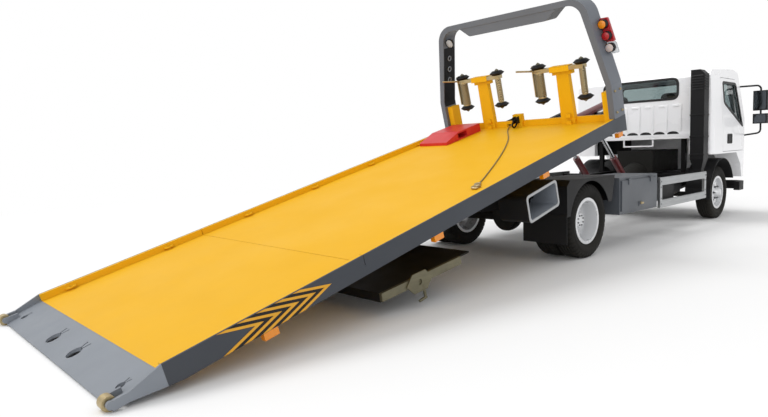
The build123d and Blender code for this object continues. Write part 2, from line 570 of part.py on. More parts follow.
def cab_form(inset):
    """The cab's outside shape, or the same shape a given depth under its skin."""
    with BuildPart() as form:
        with BuildSketch(Plane.XZ) as side_view:
            with BuildLine():
                Polyline(*side_outline, close=True)
            make_face()
            if inset:
                offset(amount=-inset, kind=Kind.INTERSECTION)
        extrude(side_view.sketch, amount=CAB_HALF_W + 20, both=True)
        with BuildSketch(Plane.XY.offset(400)) as plan_view:
            with Locations(((CAB_REAR_X + CAB_FRONT_X) / 2, 0)):
                Rectangle(CAB_FRONT_X - CAB_REAR_X, 2 * CAB_HALF_W)
            fillet(plan_view.vertices().group_by(Axis.X)[-1], CORNER_R)
            fillet(plan_view.vertices().group_by(Axis.X)[0], REAR_CORNER_R)
            if inset:
                offset(amount=-inset)
        extrude(plan_view.sketch, amount=2000, mode=Mode.INTERSECT)
        with BuildSketch(Plane.YZ.offset(CAB_REAR_X - 100)) as front_view:
            with BuildLine():
                top = CAB_HALF_W - TUMBLE
                Polyline((-CAB_HALF_W, 400), (-CAB_HALF_W, BELT_Z), (-top, ROOF_Z + 60), (top, ROOF_Z + 60),
                         (CAB_HALF_W, BELT_Z), (CAB_HALF_W, 400), close=True)
            make_face()
            fillet(front_view.vertices().group_by(Axis.Y)[-1], ROOF_CORNER_R)
            if inset:
                offset(amount=-inset, kind=Kind.INTERSECTION)
        extrude(front_view.sketch, amount=2200, mode=Mode.INTERSECT)
        block((CAB_REAR_X - 10, TUNNEL_FRONT_X + inset), (-TUNNEL_HALF_W - inset, TUNNEL_HALF_W + inset),
              (300, TUNNEL_Z + inset), mode=Mode.SUBTRACT)
    return form.part


# Door and window outlines in side view, outlines of the end windows in front view
DOOR_REAR_X = CAB_FRONT_X - 1110.0
DOOR_FRONT_X = CAB_FRONT_X - 140.0
DOOR_GAP = 6.0
DOOR_TOP_Z = 2050.0
DOOR_BOTTOM_Z = CAB_SILL_Z + 25
PILLAR_LEAN = 255.0
door_outline = [(DOOR_REAR_X, DOOR_BOTTOM_Z), (DOOR_REAR_X, DOOR_TOP_Z),
                (DOOR_FRONT_X - PILLAR_LEAN, DOOR_TOP_Z), (DOOR_FRONT_X, BELT_Z - 20),
                (DOOR_FRONT_X, DOOR_BOTTOM_Z + 60), (DOOR_FRONT_X - 60, DOOR_BOTTOM_Z)]
window_outline = [(DOOR_REAR_X + 110, 1690), (DOOR_REAR_X + 90, DOOR_TOP_Z - 70),
                  (DOOR_FRONT_X - PILLAR_LEAN - 70, DOOR_TOP_Z - 70), (DOOR_FRONT_X - 100, BELT_Z + 80)]
SCREEN_HALF_W = CAB_HALF_W - 155.0
REAR_WINDOW_HALF_W = CAB_HALF_W - 485.0
REAR_WINDOW_Z = (1770.0, 2060.0)


def side_prism(outline, inset, side, bevel):
    """An outline pushed in through the cab's side, its front edge bevelled so that a door clears."""
    outer_y, inner_y = CAB_HALF_W + 15, CAB_HALF_W - 170
    with BuildPart() as prism:
        for y in (outer_y, inner_y):
            with BuildSketch(Plane.XZ.offset(-side * y)):
                with BuildLine():
                    shift = (outer_y - y) if bevel else 0
                    front = max(x for x, z in outline) - PILLAR_LEAN - 65
                    Polyline(*[(x - shift if x > front else x, z) for x, z in outline], close=True)
                make_face()
                if inset:
                    offset(amount=-inset, kind=Kind.INTERSECTION)
        loft(ruled=True)
    return prism.part


def end_prism(xs, half_low, half_high, zs, radius, inset):
    """A window outline in front view pushed along the cab between two stations."""
    with BuildPart() as prism:
        with BuildSketch(Plane.YZ.offset(xs[0])) as outline:
            with BuildLine():
                Polyline((-half_low, zs[0]), (-half_high, zs[1]), (half_high, zs[1]), (half_low, zs[0]),
                         close=True)
            make_face()
            fillet(outline.vertices(), radius)
            if inset:
                offset(amount=-inset)
        extrude(amount=xs[1] - xs[0])
    return prism.part


screen_xs = (CAB_FRONT_X - 420, CAB_FRONT_X + 60)
screen_zs = (BELT_Z + 40, ROOF_Z - 120)
rear_xs = (CAB_REAR_X - 40, CAB_REAR_X + 120)
outer_form = cab_form(0)
inner_form = cab_form(CAB_WALL)
with BuildPart() as cab_walls:
    add(outer_form)
    add(inner_form, mode=Mode.SUBTRACT)

LUG_EYE_R = 32.0
LUG_BACK = 115.0
with BuildPart() as cab_shell:
    add(cab_walls.part)
    for side in (1, -1):
        add(side_prism(door_outline, 0, side, True), mode=Mode.SUBTRACT)
    add(end_prism(screen_xs, SCREEN_HALF_W, SCREEN_HALF_W - 60, screen_zs, 70, 0), mode=Mode.SUBTRACT)
    add(end_prism(rear_xs, REAR_WINDOW_HALF_W, REAR_WINDOW_HALF_W, REAR_WINDOW_Z, 90, 0), mode=Mode.SUBTRACT)
    lug_inner = FRAME_HALF_W + HINGE_PLATE_T + 6
    for ys in both_sides(lug_inner, lug_inner + HINGE_LUG_W):
        with BuildSketch(Plane.XZ.offset(-ys[1])):
            with BuildLine():
                shoulder, rise = LUG_EYE_R * math.sqrt(0.5), CAB_CHIN_Z + 10 - HINGE_Z
                Polyline((HINGE_X + shoulder, HINGE_Z + shoulder),
                         (HINGE_X + 2 * shoulder - rise, HINGE_Z + rise),
                         (HINGE_X - LUG_BACK, HINGE_Z + rise),
                         (HINGE_X - LUG_BACK, HINGE_Z + LUG_BACK - 2 * shoulder),
                         (HINGE_X - shoulder, HINGE_Z - shoulder), close=True)
            make_face()
        extrude(amount=ys[1] - ys[0])
        cross_pin(HINGE_X, HINGE_Z, LUG_EYE_R, ys)
        cross_pin(HINGE_X, HINGE_Z, HINGE_PIN_R + RUN_GAP, ys, mode=Mode.SUBTRACT)
save("cab_shell", cab_shell.part)

GLASS_DEPTH = 20.0
GLASS_T = 6.0
with BuildPart() as glass_skin:
    add(cab_form(GLASS_DEPTH))
    add(cab_form(GLASS_DEPTH + GLASS_T), mode=Mode.SUBTRACT)

with BuildPart() as screen_glass:
    add(glass_skin.part)
    add(end_prism(screen_xs, SCREEN_HALF_W, SCREEN_HALF_W - 60, screen_zs, 70, RUN_GAP), mode=Mode.INTERSECT)
with BuildPart() as rear_glass:
    add(glass_skin.part)
    add(end_prism(rear_xs, REAR_WINDOW_HALF_W, REAR_WINDOW_HALF_W, REAR_WINDOW_Z, 90, RUN_GAP),
        mode=Mode.INTERSECT)
save("cab_glass", Compound(children=[screen_glass.part, rear_glass.part]))

for side, side_name in ((-1, "right"), (1, "left")):
    with BuildPart() as door:
        add(cab_walls.part)
        add(side_prism(door_outline, DOOR_GAP, side, True), mode=Mode.INTERSECT)
        add(side_prism(window_outline, 0, side, False), mode=Mode.SUBTRACT)
    save(f"door_{side_name}", door.part)
    with BuildPart() as door_glass:
        add(glass_skin.part)
        add(side_prism(window_outline, RUN_GAP, side, False), mode=Mode.INTERSECT)
    save(f"door_glass_{side_name}", door_glass.part)

# Cab fittings: grille, headlamps, mirrors, seats, dashboard with steering wheel, front bumper
with BuildPart() as grille:
    block((CAB_FRONT_X + RUN_GAP, CAB_FRONT_X + 14), (-620, 620), (830, 1060))
    for row in range(4):
        block((CAB_FRONT_X + 13, CAB_FRONT_X + 19), (-590, 590), (852 + 50 * row, 876 + 50 * row))
save("grille", grille.part)

with BuildPart() as headlamps:
    for ys in both_sides(560, 830):
        block((CAB_FRONT_X + RUN_GAP, CAB_FRONT_X + 16), ys, (620, 780))
save("headlamps", headlamps.part)

MIRROR_Y = CAB_HALF_W + 190.0
MIRROR_X = CAB_FRONT_X - 40.0
with BuildPart() as mirrors:
    for side in (1, -1):
        high_foot = (CAB_FRONT_X - 268, side * (CAB_HALF_W - 140), 1950)
        low_foot = (CAB_FRONT_X - 8, side * (CAB_HALF_W - 195), 1190)
        with BuildLine() as arm:
            FilletPolyline(high_foot, (MIRROR_X - 20, side * MIRROR_Y, 1960),
                           (MIRROR_X, side * MIRROR_Y, 1240), low_foot, radius=60)
        with BuildSketch(Plane(origin=arm.line @ 0, z_dir=arm.line % 0)):
            Circle(13)
        sweep()
        block(span(MIRROR_X - 10, 90), span(side * MIRROR_Y, 190), (1580, 1880))
        block(span(MIRROR_X - 10, 90), span(side * MIRROR_Y, 190), (1380, 1530))
    add(outer_form, mode=Mode.SUBTRACT)
save("mirrors", mirrors.part)

SEAT_Y = 480.0
with BuildPart() as seats:
    for middle in (SEAT_Y, -SEAT_Y):
        block((CAB_REAR_X + 180, CAB_REAR_X + 680), span(middle, 470), (TUNNEL_Z + CAB_WALL + RUN_GAP, 1390))
        block((CAB_REAR_X + 110, CAB_REAR_X + 230), span(middle, 460), (1290, 1880))
save("seats", seats.part)

DASH_HALF_W = CAB_HALF_W - 265.0
with BuildPart() as dashboard:
    block((CAB_FRONT_X - 360, CAB_FRONT_X - 160), (-DASH_HALF_W, DASH_HALF_W),
          (TUNNEL_Z + CAB_WALL + RUN_GAP, 1385))
    tube_between((CAB_FRONT_X - 300, SEAT_Y, 1300), (CAB_FRONT_X - 490, SEAT_Y, 1500), 24)
    with Locations(Plane(origin=(CAB_FRONT_X - 495, SEAT_Y, 1506), z_dir=(-190, 0, 200))):
        Torus(205, 15)
        Box(400, 36, 16)
save("dashboard", dashboard.part)

BUMPER_Z = (365.0, 500.0)
BUMPER_T = 45.0
TOW_EYE_R = 16.0
TOW_EYE_Y = (370.0, 390.0)
with BuildPart() as front_bumper:
    with BuildSketch(Plane.XY.offset(BUMPER_Z[0])) as plan:
        with Locations((NOSE_X - 260, 0)):
            Rectangle(520, 2 * CAB_HALF_W)
        fillet(plan.vertices().group_by(Axis.X)[-1], 170)
        with Locations((NOSE_X - BUMPER_T - 320, 0)):
            Rectangle(640, 2 * CAB_HALF_W - 160, mode=Mode.SUBTRACT)
        with Locations((NOSE_X - 480, 0)):
            Rectangle(260, 2 * CAB_HALF_W + 20, mode=Mode.SUBTRACT)
    extrude(amount=BUMPER_Z[1] - BUMPER_Z[0])
    for ys in both_sides(RAIL_INNER_Y, FRAME_HALF_W):
        block((FRAME_FRONT_X + RUN_GAP, NOSE_X - BUMPER_T + 5), ys, (BUMPER_Z[0] + 40, BUMPER_Z[1]))
        block((FRAME_FRONT_X + RUN_GAP, FRAME_FRONT_X + 40), ys, (BUMPER_Z[0] + 40, FRAME_TOP_Z - 20))
    for ys in both_sides(*TOW_EYE_Y):
        block((NOSE_X - 130, NOSE_X - 40), ys, (BUMPER_Z[0] - 65, BUMPER_Z[0] + 60))
        cross_pin(NOSE_X - 85, BUMPER_Z[0] - 30, TOW_EYE_R, ys, mode=Mode.SUBTRACT)
save("front_bumper", front_bumper.part)

# Tilt frame: two box rails on the pivot, pads for the bed to run on, arms to the rear apron
TILT_RAIL_Y = (300.0, 360.0)
TILT_RAIL_Z = (737.0, 857.0)
TILT_FRONT_X = REAR_AXLE_X + 2640.0
TILT_REAR_X = PIVOT_X - 60.0
RUNNER_Z = (864.0, 934.0)
SLIDE_CYL_Z = 810.0
SLIDE_CYL_R = 50.0
LUG_R = 55.0
CYL_EYE_R = 40.0
APRON_X = (PIVOT_X - 1900.0, PIVOT_X - 1020.0)
APRON_Z = 560.0
TILT_RAIL_FRONT_X = TILT_FRONT_X - 400.0
tilt_cross = [PIVOT_X + 190, PIVOT_X + 900, PIVOT_X + 1700, PIVOT_X + 2350, TILT_RAIL_FRONT_X - 60]
arm_x = TILT_REAR_X - RUN_GAP

# Where the rod eye of the tilt cylinders is on the level tilt frame
EYE_REST = (REAR_AXLE_X + 1640.0, 1330.0)
eye_dx, eye_dz = EYE_REST[0] - PIVOT_X, EYE_REST[1] - PIVOT_Z
EYE_LEVEL = (PIVOT_X + eye_dx * COS_T + eye_dz * SIN_T, PIVOT_Z - eye_dx * SIN_T + eye_dz * COS_T)

APRON_LEAN = 5.5
APRON_HALF_W = 975.0
APRON_L = APRON_X[1] - APRON_X[0] + 140
lean = math.radians(APRON_LEAN)
apron_place = Plane(origin=(APRON_X[1] + 140, 0, APRON_Z), z_dir=(math.sin(lean), 0, math.cos(lean)))

with BuildPart() as tilt_frame:
    for ys in both_sides(*TILT_RAIL_Y):
        block((TILT_REAR_X, TILT_RAIL_FRONT_X), ys, TILT_RAIL_Z)
        for x in (TILT_REAR_X + 90, PIVOT_X + 1250, PIVOT_X + 2500, TILT_RAIL_FRONT_X - 90):
            block(span(x, 160), ys, (TILT_RAIL_Z[1], RUNNER_Z[0] - 1))
        lug_y = (ys[0] + 8, ys[1] - 8)
        cross_pin(PIVOT_X, PIVOT_Z, LUG_R, lug_y)
        block(span(PIVOT_X, 2 * LUG_R - 6), lug_y, (PIVOT_Z, TILT_RAIL_Z[0] + 1))
        cross_pin(PIVOT_X, PIVOT_Z, PIVOT_R + RUN_GAP, ys, mode=Mode.SUBTRACT)
        with BuildSketch(Plane.XZ.offset(-ys[1])):
            with BuildLine():
                Polyline((arm_x, TILT_RAIL_Z[0]), (arm_x, TILT_RAIL_Z[1] - 30),
                         (APRON_X[1] + 40, APRON_Z + 120), (APRON_X[1] + 40, APRON_Z + 30),
                         (APRON_X[1] + 130, APRON_Z + 30), close=True)
            make_face()
        extrude(amount=ys[1] - ys[0])
    for x in tilt_cross:
        block(span(x, 110), (-TILT_RAIL_Y[0] + RUN_GAP, TILT_RAIL_Y[0] - RUN_GAP),
              (TILT_RAIL_Z[0], SLIDE_CYL_Z - SLIDE_CYL_R - RUN_GAP))
    # Ears either side of each rod eye
    for middle in (CYL_Y, -CYL_Y):
        for outward in (-1, 1):
            ear = middle + outward * (CYL_EYE_W / 2 + 1 + CYL_EAR_T / 2)
            block(span(EYE_LEVEL[0], 110), span(ear, CYL_EAR_T), (EYE_LEVEL[1] - 45, TILT_RAIL_Z[0] + 20))
        block(span(EYE_LEVEL[0], 110), span(middle, CYL_EYE_W + 2 + 2 * CYL_EAR_T),
              (TILT_RAIL_Z[0], TILT_RAIL_Z[0] + 20))
    # Outriggers that carry the side trays
    for ys in both_sides(TILT_RAIL_Y[1] + RUN_GAP, 800.0):
        for x in (PIVOT_X + 100, PIVOT_X + 300):
            block(span(x, 50), ys, (TILT_RAIL_Z[1] - 70, TILT_RAIL_Z[1] - 20))
    block(span(PIVOT_X - 460, 90), (-TILT_RAIL_Y[0] - 1, TILT_RAIL_Y[0] + 1), (680, 735))
    with BuildSketch(apron_place.offset(RUN_GAP - 2)):
        with Locations((-65, 0)):
            Rectangle(110, 2 * TILT_RAIL_Y[1])
    extrude(amount=50)
save("tilt_frame", tilt_frame.part, TILT_POSE)

# Slide cylinder: hollow barrel on the tilt frame, rod on the bed
BARREL_X = (PIVOT_X + 600.0, TILT_FRONT_X - 20.0)
SLIDE_BORE_R = 40.0
SLIDE_ROD_R = 26.0
with BuildPart() as slide_barrel:
    tube_between((BARREL_X[0], 0, SLIDE_CYL_Z), (BARREL_X[1], 0, SLIDE_CYL_Z), SLIDE_CYL_R)
    tube_between((BARREL_X[0] + 40, 0, SLIDE_CYL_Z), (BARREL_X[1] - 40, 0, SLIDE_CYL_Z), SLIDE_BORE_R,
                 mode=Mode.SUBTRACT)
    tube_between((BARREL_X[0] - 1, 0, SLIDE_CYL_Z), (BARREL_X[0] + 41, 0, SLIDE_CYL_Z), SLIDE_ROD_R + RUN_GAP,
                 mode=Mode.SUBTRACT)
save("slide_barrel", slide_barrel.part, TILT_POSE)

# Side trays: silver open trays under the bed behind the rear wheels
TRAY_X = (PIVOT_X - 170.0, PIVOT_X + 340.0)
TRAY_Z = (530.0, 786.0)
TRAY_Y = (800.0 + RUN_GAP, 1100.0)
with BuildPart() as side_trays:
    for side in (1, -1):
        with BuildSketch(Plane.XZ.offset(-side * TRAY_Y[0])):
            with Locations(((TRAY_X[0] + TRAY_X[1]) / 2, (TRAY_Z[0] + TRAY_Z[1]) / 2)):
                RectangleRounded(TRAY_X[1] - TRAY_X[0], TRAY_Z[1] - TRAY_Z[0], 45)
        extrude(amount=-side * (TRAY_Y[1] - TRAY_Y[0]))
        with BuildSketch(Plane.XZ.offset(-side * (TRAY_Y[0] + 10))):
            with Locations(((TRAY_X[0] + TRAY_X[1]) / 2, (TRAY_Z[0] + TRAY_Z[1]) / 2)):
                RectangleRounded(TRAY_X[1] - TRAY_X[0] - 50, TRAY_Z[1] - TRAY_Z[0] - 50, 25)
        extrude(amount=-side * (TRAY_Y[1] - TRAY_Y[0]), mode=Mode.SUBTRACT)
        out = both_sides(TRAY_Y[0], TRAY_Y[0] + 30)[0 if side > 0 else 1]
        block((PIVOT_X + 60, PIVOT_X + 340), out, (TRAY_Z[1] - 20, TILT_RAIL_Z[1] - 15))
save("side_trays", side_trays.part, TILT_POSE)

# Rear apron under the tail: black plate, zinc side bars with brackets and hooks
with BuildPart() as rear_apron:
    with BuildSketch(apron_place.offset(-14)):
        with Locations((-APRON_L / 2, 0)):
            Rectangle(APRON_L, 2 * APRON_HALF_W)
    extrude(amount=12)
    with BuildSketch(apron_place.offset(-70)):
        for x in (-APRON_L + 15, -155):
            with Locations((x, 0)):
                Rectangle(30, 2 * APRON_HALF_W)
    extrude(amount=60)
save("rear_apron", rear_apron.part, TILT_POSE)

HEX_BACK = 380.0
HEX_L = 140.0
HEX_H = 75.0
HEX_T = 12.0
HOOK_DROP = 140.0
HOOK_BAR_R = 11.0
with BuildPart() as apron_bars:
    for side in (1, -1):
        with BuildSketch(apron_place.offset(-62)):
            with Locations((-APRON_L / 2 - 70, side * (APRON_HALF_W + RUN_GAP + 13))):
                Rectangle(APRON_L - 140, 26)
        extrude(amount=64)
        # Six-sided plate on the bar's outside, with a hook that hangs from it
        plate_at = apron_place.from_local_coords((-APRON_L + HEX_BACK, side * (APRON_HALF_W + 26), -40))
        with BuildSketch(Plane(origin=plate_at, x_dir=apron_place.x_dir, z_dir=(0, side, 0))):
            Polygon((-HEX_L, 0), (-HEX_L / 2, HEX_H), (HEX_L / 2, HEX_H), (HEX_L, 0), (HEX_L / 2, -HEX_H),
                    (-HEX_L / 2, -HEX_H))
            Circle(22, mode=Mode.SUBTRACT)
        extrude(amount=HEX_T)
        hook_foot = plate_at + Vector(30, side * 6, -HOOK_DROP)
        tube_between(plate_at + Vector(30, side * 6, -40), hook_foot, HOOK_BAR_R)
        tube_between(hook_foot + Vector(8, 0, 0), hook_foot - Vector(70, 0, 0), HOOK_BAR_R)
save("apron_bars", apron_bars.part, TILT_POSE)

# Tilt cylinders: hollow barrels hinged on the chassis, rods that meet the ears of the tilt frame
BARREL_R = 46.0
BORE_R = 33.0
ROD_R = 26.0
BARREL_L = 540.0
foot = (CYL_BASE_X, CYL_BASE_Z)
reach = math.hypot(EYE_REST[0] - foot[0], EYE_REST[1] - foot[1])
ux, uz = (EYE_REST[0] - foot[0]) / reach, (EYE_REST[1] - foot[1]) / reach


def along(distance, y):
    """A point on a tilt cylinder's line, measured from its foot."""
    return (foot[0] + ux * distance, y, foot[1] + uz * distance)


with BuildPart() as tilt_barrels:
    for y in (CYL_Y, -CYL_Y):
        cross_pin(foot[0], foot[1], CYL_EYE_R, span(y, CYL_EYE_W))
        cross_pin(foot[0], foot[1], CYL_PIN_R, span(y, CYL_EYE_W + 2 + 2 * CYL_EAR_T))
        tube_between(along(0, y), along(90, y), CYL_EYE_W / 2 - 2)
        tube_between(along(80, y), along(BARREL_L, y), BARREL_R)
        tube_between(along(105, y), along(BARREL_L - 40, y), BORE_R, mode=Mode.SUBTRACT)
        tube_between(along(BARREL_L - 41, y), along(BARREL_L + 1, y), ROD_R + RUN_GAP, mode=Mode.SUBTRACT)
save("tilt_barrels", tilt_barrels.part)

with BuildPart() as tilt_rods:
    for y in (CYL_Y, -CYL_Y):
        tube_between(along(BARREL_L - 75, y), along(reach - 10, y), ROD_R)
        tube_between(along(BARREL_L - 90, y), along(BARREL_L - 60, y), BORE_R - RUN_GAP)
        cross_pin(EYE_REST[0], EYE_REST[1], CYL_EYE_R, span(y, CYL_EYE_W))
save("tilt_rods", tilt_rods.part)

# Bed deck: plate with upstands, front lip, dolly posts and shoes of the arch, all one yellow weldment
DECK_T = 8.0
RAIL_PLATE_T = 12.0
UPSTAND_T = 30.0
UPSTAND_H = 52.0
RAIL_DEPTH = 85.0
RAIL_TOE = 40.0
RAIL_TOE_L = 260.0
RAIL_TAIL_L = 90.0
RAIL_TAIL_DEPTH = 75.0
LIP_X = (BED_FRONT_X - 72.0, BED_FRONT_X - 44.0)
LIP_H = 70.0
POST_Y = (DECK_HALF_W - 65.0) / 2
POST_H = 600.0
INNER_HALF_W = DECK_HALF_W - RAIL_PLATE_T - RUN_GAP
LIP_HALF_W = DECK_HALF_W - 64.0
SHOE_W = 76.0
SHOE_H = 330.0
POST_FOOT_W = 170.0
POST_TOP_W = 145.0
POST_HEAD_W = 240.0
POST_HEAD_H = 48.0
ROPE_SLOT_Y = (215.0, 300.0)
SEAM_X = BED_FRONT_X - 3840.0
SEAM_W = 5.0
LUG_FIRST = 820.0
LUG_STEP = 840.0
DECK_LUG_R = 44.0
DECK_LUG_T = 12.0
lug_line = INNER_HALF_W - UPSTAND_T
with BuildPart() as bed_deck:
    block((DECK_END_X, BED_FRONT_X), (-INNER_HALF_W, INNER_HALF_W), (DECK_Z - DECK_T, DECK_Z))
    for ys in both_sides(INNER_HALF_W - UPSTAND_T, INNER_HALF_W):
        block((DECK_END_X, BED_FRONT_X), ys, (DECK_Z - DECK_T, DECK_Z + UPSTAND_H))
    # Half-round tie-down lugs at the foot of the upstands, each with a hole
    with BuildSketch(Plane.XY.offset(DECK_Z + 16)):
        for y, inward in ((lug_line, -1), (-lug_line, 1)):
            for index in range(6):
                x = BED_FRONT_X - LUG_FIRST - LUG_STEP * index
                with Locations((x, y)):
                    Circle(DECK_LUG_R)
                with Locations((x, y + inward * DECK_LUG_R * 0.45)):
                    Circle(DECK_LUG_R * 0.3, mode=Mode.SUBTRACT)
                with Locations((x, y - inward * DECK_LUG_R)):
                    Rectangle(2 * DECK_LUG_R, 1.6 * DECK_LUG_R, mode=Mode.SUBTRACT)
    extrude(amount=DECK_LUG_T)
    block(span(SEAM_X, SEAM_W), (-lug_line, lug_line), (DECK_Z - DECK_T / 2, DECK_Z + 1), mode=Mode.SUBTRACT)
    for ys in both_sides(lug_line - 1, INNER_HALF_W + 1):
        block(span(SEAM_X, SEAM_W), ys, (DECK_Z - DECK_T / 2, DECK_Z + UPSTAND_H + 1), mode=Mode.SUBTRACT)
    block(LIP_X, (-LIP_HALF_W, LIP_HALF_W), (DECK_Z - DECK_T, DECK_Z + LIP_H))
    block((LIP_X[0] - 1, LIP_X[1] + 1), ROPE_SLOT_Y, (DECK_Z, DECK_Z + 34), mode=Mode.SUBTRACT)
    for middle in (POST_Y, -POST_Y):
        with BuildSketch(Plane.YZ.offset(LIP_X[0] - 30)):
            with BuildLine():
                head_z = DECK_Z + POST_H
                Polyline((middle - POST_FOOT_W / 2, DECK_Z - 1), (middle + POST_FOOT_W / 2, DECK_Z - 1),
                         (middle + POST_TOP_W / 2, head_z), (middle - POST_TOP_W / 2, head_z), close=True)
            make_face()
        extrude(amount=LIP_X[1] - LIP_X[0] + 30)
        block((LIP_X[0] - 30, LIP_X[1]), span(middle, POST_HEAD_W), (head_z - POST_HEAD_H, head_z))
        # Small stacked hooks at the post's foot
        hook_y = span(middle - 20, 60)
        for low in (DECK_Z - 1, DECK_Z + 75):
            block((LIP_X[0] - 62, LIP_X[0] - 29), hook_y, (low, low + 17))
            block((LIP_X[0] - 62, LIP_X[0] - 50), hook_y, (low, low + 45))
    for ys in both_sides(LIP_HALF_W - SHOE_W, LIP_HALF_W):
        block((BED_FRONT_X - 190, LIP_X[1]), ys, (DECK_Z - 1, DECK_Z + SHOE_H))
    block((LIP_X[0] - 30, LIP_X[1]), (60, 180), (DECK_Z - 1, DECK_Z + 150))
save("bed_deck", bed_deck.part, BED_POSE)

# Side rails: grey plates outside the deck, with a bottom flange
with BuildPart() as bed_rails:
    for side in (1, -1):
        with BuildSketch(Plane.XZ.offset(-side * DECK_HALF_W)):
            with BuildLine():
                top, foot_z = DECK_Z + UPSTAND_H, DECK_Z - RAIL_DEPTH
                Polyline((BED_FRONT_X, top), (BED_FRONT_X, foot_z - RAIL_TOE),
                         (BED_FRONT_X - RAIL_TOE_L, foot_z), (DECK_END_X + RAIL_TAIL_L, foot_z),
                         (DECK_END_X, DECK_Z - RAIL_TAIL_DEPTH), (DECK_END_X, top), close=True)
            make_face()
        extrude(amount=side * RAIL_PLATE_T)
        flange = both_sides(DECK_HALF_W - 50, DECK_HALF_W - RAIL_PLATE_T + 1)[0 if side > 0 else 1]
        block((DECK_END_X + RAIL_TAIL_L + 20, BED_FRONT_X - RAIL_TOE_L - 10), flange,
              (DECK_Z - RAIL_DEPTH, DECK_Z - RAIL_DEPTH + 10))
    for ys in both_sides(INNER_HALF_W, DECK_HALF_W + 1):
        block(span(SEAM_X, SEAM_W), ys, (DECK_Z - 20, DECK_Z + UPSTAND_H + 1), mode=Mode.SUBTRACT)
save("bed_rails", bed_rails.part, BED_POSE)

# Underframe: cross-members under the deck, two runners and the slide rod's bracket
ROD_BRACKET_X = BARREL_X[0] - 100.0
CROSS_COUNT = 9
RUNNER_Y = (290.0, 370.0)
cross_top = DECK_Z - DECK_T - RUN_GAP
with BuildPart() as bed_underframe:
    first, last = DECK_END_X + 60, BED_FRONT_X - 40
    for index in range(CROSS_COUNT):
        x = first + (last - first) * index / (CROSS_COUNT - 1)
        block(span(x, 60), (-INNER_HALF_W + 50, INNER_HALF_W - 50), (RUNNER_Z[1] + RUN_GAP, cross_top))
    for ys in both_sides(*RUNNER_Y):
        block((DECK_END_X + 800, BED_FRONT_X - 20), ys, RUNNER_Z)
    bracket_y = RUNNER_Y[0] - RUN_GAP
    block(span(ROD_BRACKET_X, 40), (-60, 60), (SLIDE_CYL_Z - 45, RUNNER_Z[1] + 20))
    block(span(ROD_BRACKET_X, 40), (-bracket_y, bracket_y), (RUNNER_Z[0] + 10, RUNNER_Z[1] + 20))
save("bed_underframe", bed_underframe.part, BED_POSE)

rod_start, piston = ROD_BRACKET_X + 20 + RUN_GAP, TILT_FRONT_X - 190
with BuildPart() as slide_rod:
    tube_between((rod_start, 0, SLIDE_CYL_Z), (piston + 40, 0, SLIDE_CYL_Z), SLIDE_ROD_R)
    tube_between((piston, 0, SLIDE_CYL_Z), (piston + 50, 0, SLIDE_CYL_Z), SLIDE_BORE_R - RUN_GAP)
save("slide_rod", slide_rod.part, BED_POSE)

# Tail plate: bent-down end of the bed with keyhole slots and a roller at each corner
TAIL_TIP_X = DECK_END_X - TAIL_PLATE_L
tail_drop = TAIL_PLATE_L * math.tan(math.radians(TAIL_PLATE_DROP))
ROLLER_Y = DECK_HALF_W - 60.0
ROLLER_W = 62.0
ROLLER_PIN_R = 12.0
ROLLER_X = REAR_AXLE_X + roller_ahead
ROLLER_Z = DECK_Z - ROLLER_DROP
NOTCH_Y = (ROLLER_Y - ROLLER_W / 2 - 6, ROLLER_Y + ROLLER_W / 2 + 6)
KEYHOLE_AHEAD = 108.0
SLIT_SPREAD = 15.0
EDGE_HOLE_Y = DECK_HALF_W - 180.0
# columns: station across, radius of the round end, length and width of its two slits
keyholes = [(215.0, 50.0, 100.0, 12.0), (-215.0, 50.0, 100.0, 12.0),
            (EDGE_HOLE_Y, 26.0, 60.0, 8.0), (-EDGE_HOLE_Y, 26.0, 60.0, 8.0)]
with BuildPart() as tail_plate:
    with BuildSketch(Plane.XZ.offset(-DECK_HALF_W)):
        with BuildLine():
            Polyline((DECK_END_X - RUN_GAP, DECK_Z), (TAIL_TIP_X, DECK_Z - tail_drop),
                     (TAIL_TIP_X, DECK_Z - tail_drop - 9), (DECK_END_X - RUN_GAP, DECK_Z - 40), close=True)
        make_face()
    extrude(amount=2 * DECK_HALF_W)
    for y, head, length, width in keyholes:
        with BuildSketch(Plane.XY.offset(DECK_Z + 5)):
            with Locations((TAIL_TIP_X + KEYHOLE_AHEAD, y)):
                Circle(head)
            for spread in (SLIT_SPREAD, -SLIT_SPREAD):
                with Locations(Location((TAIL_TIP_X + KEYHOLE_AHEAD, y), spread)):
                    Rectangle(length, width, align=(Align.MIN, Align.CENTER))
        extrude(amount=-120, mode=Mode.SUBTRACT)
    for ys in both_sides(*NOTCH_Y):
        block((TAIL_TIP_X - 1, TAIL_TIP_X + 62), ys, (DECK_Z - 100, DECK_Z + 10), mode=Mode.SUBTRACT)
    for low, high in ((NOTCH_Y[0] - 16, NOTCH_Y[0]), (NOTCH_Y[1], DECK_HALF_W)):
        for ys in both_sides(low, high):
            block((ROLLER_X, ROLLER_X + 90), ys, (DECK_Z - tail_drop - 5, DECK_Z + 4))
            cross_pin(ROLLER_X, ROLLER_Z, 22, ys)
    for ys in both_sides(NOTCH_Y[0] - 8, NOTCH_Y[1] + 8):
        cross_pin(ROLLER_X, ROLLER_Z, ROLLER_PIN_R, ys)
    for ys in both_sides(DECK_HALF_W - 14, DECK_HALF_W):
        with BuildSketch(Plane.XZ.offset(-ys[1])):
            with BuildLine():
                Polyline((DECK_END_X - RUN_GAP, DECK_Z - RAIL_TAIL_DEPTH),
                         (DECK_END_X - RUN_GAP, DECK_Z + UPSTAND_H),
                         (TAIL_TIP_X + 40, DECK_Z - 10), (TAIL_TIP_X + 40, DECK_Z - tail_drop), close=True)
            make_face()
        extrude(amount=ys[1] - ys[0])
save("tail_plate", tail_plate.part, BED_POSE)

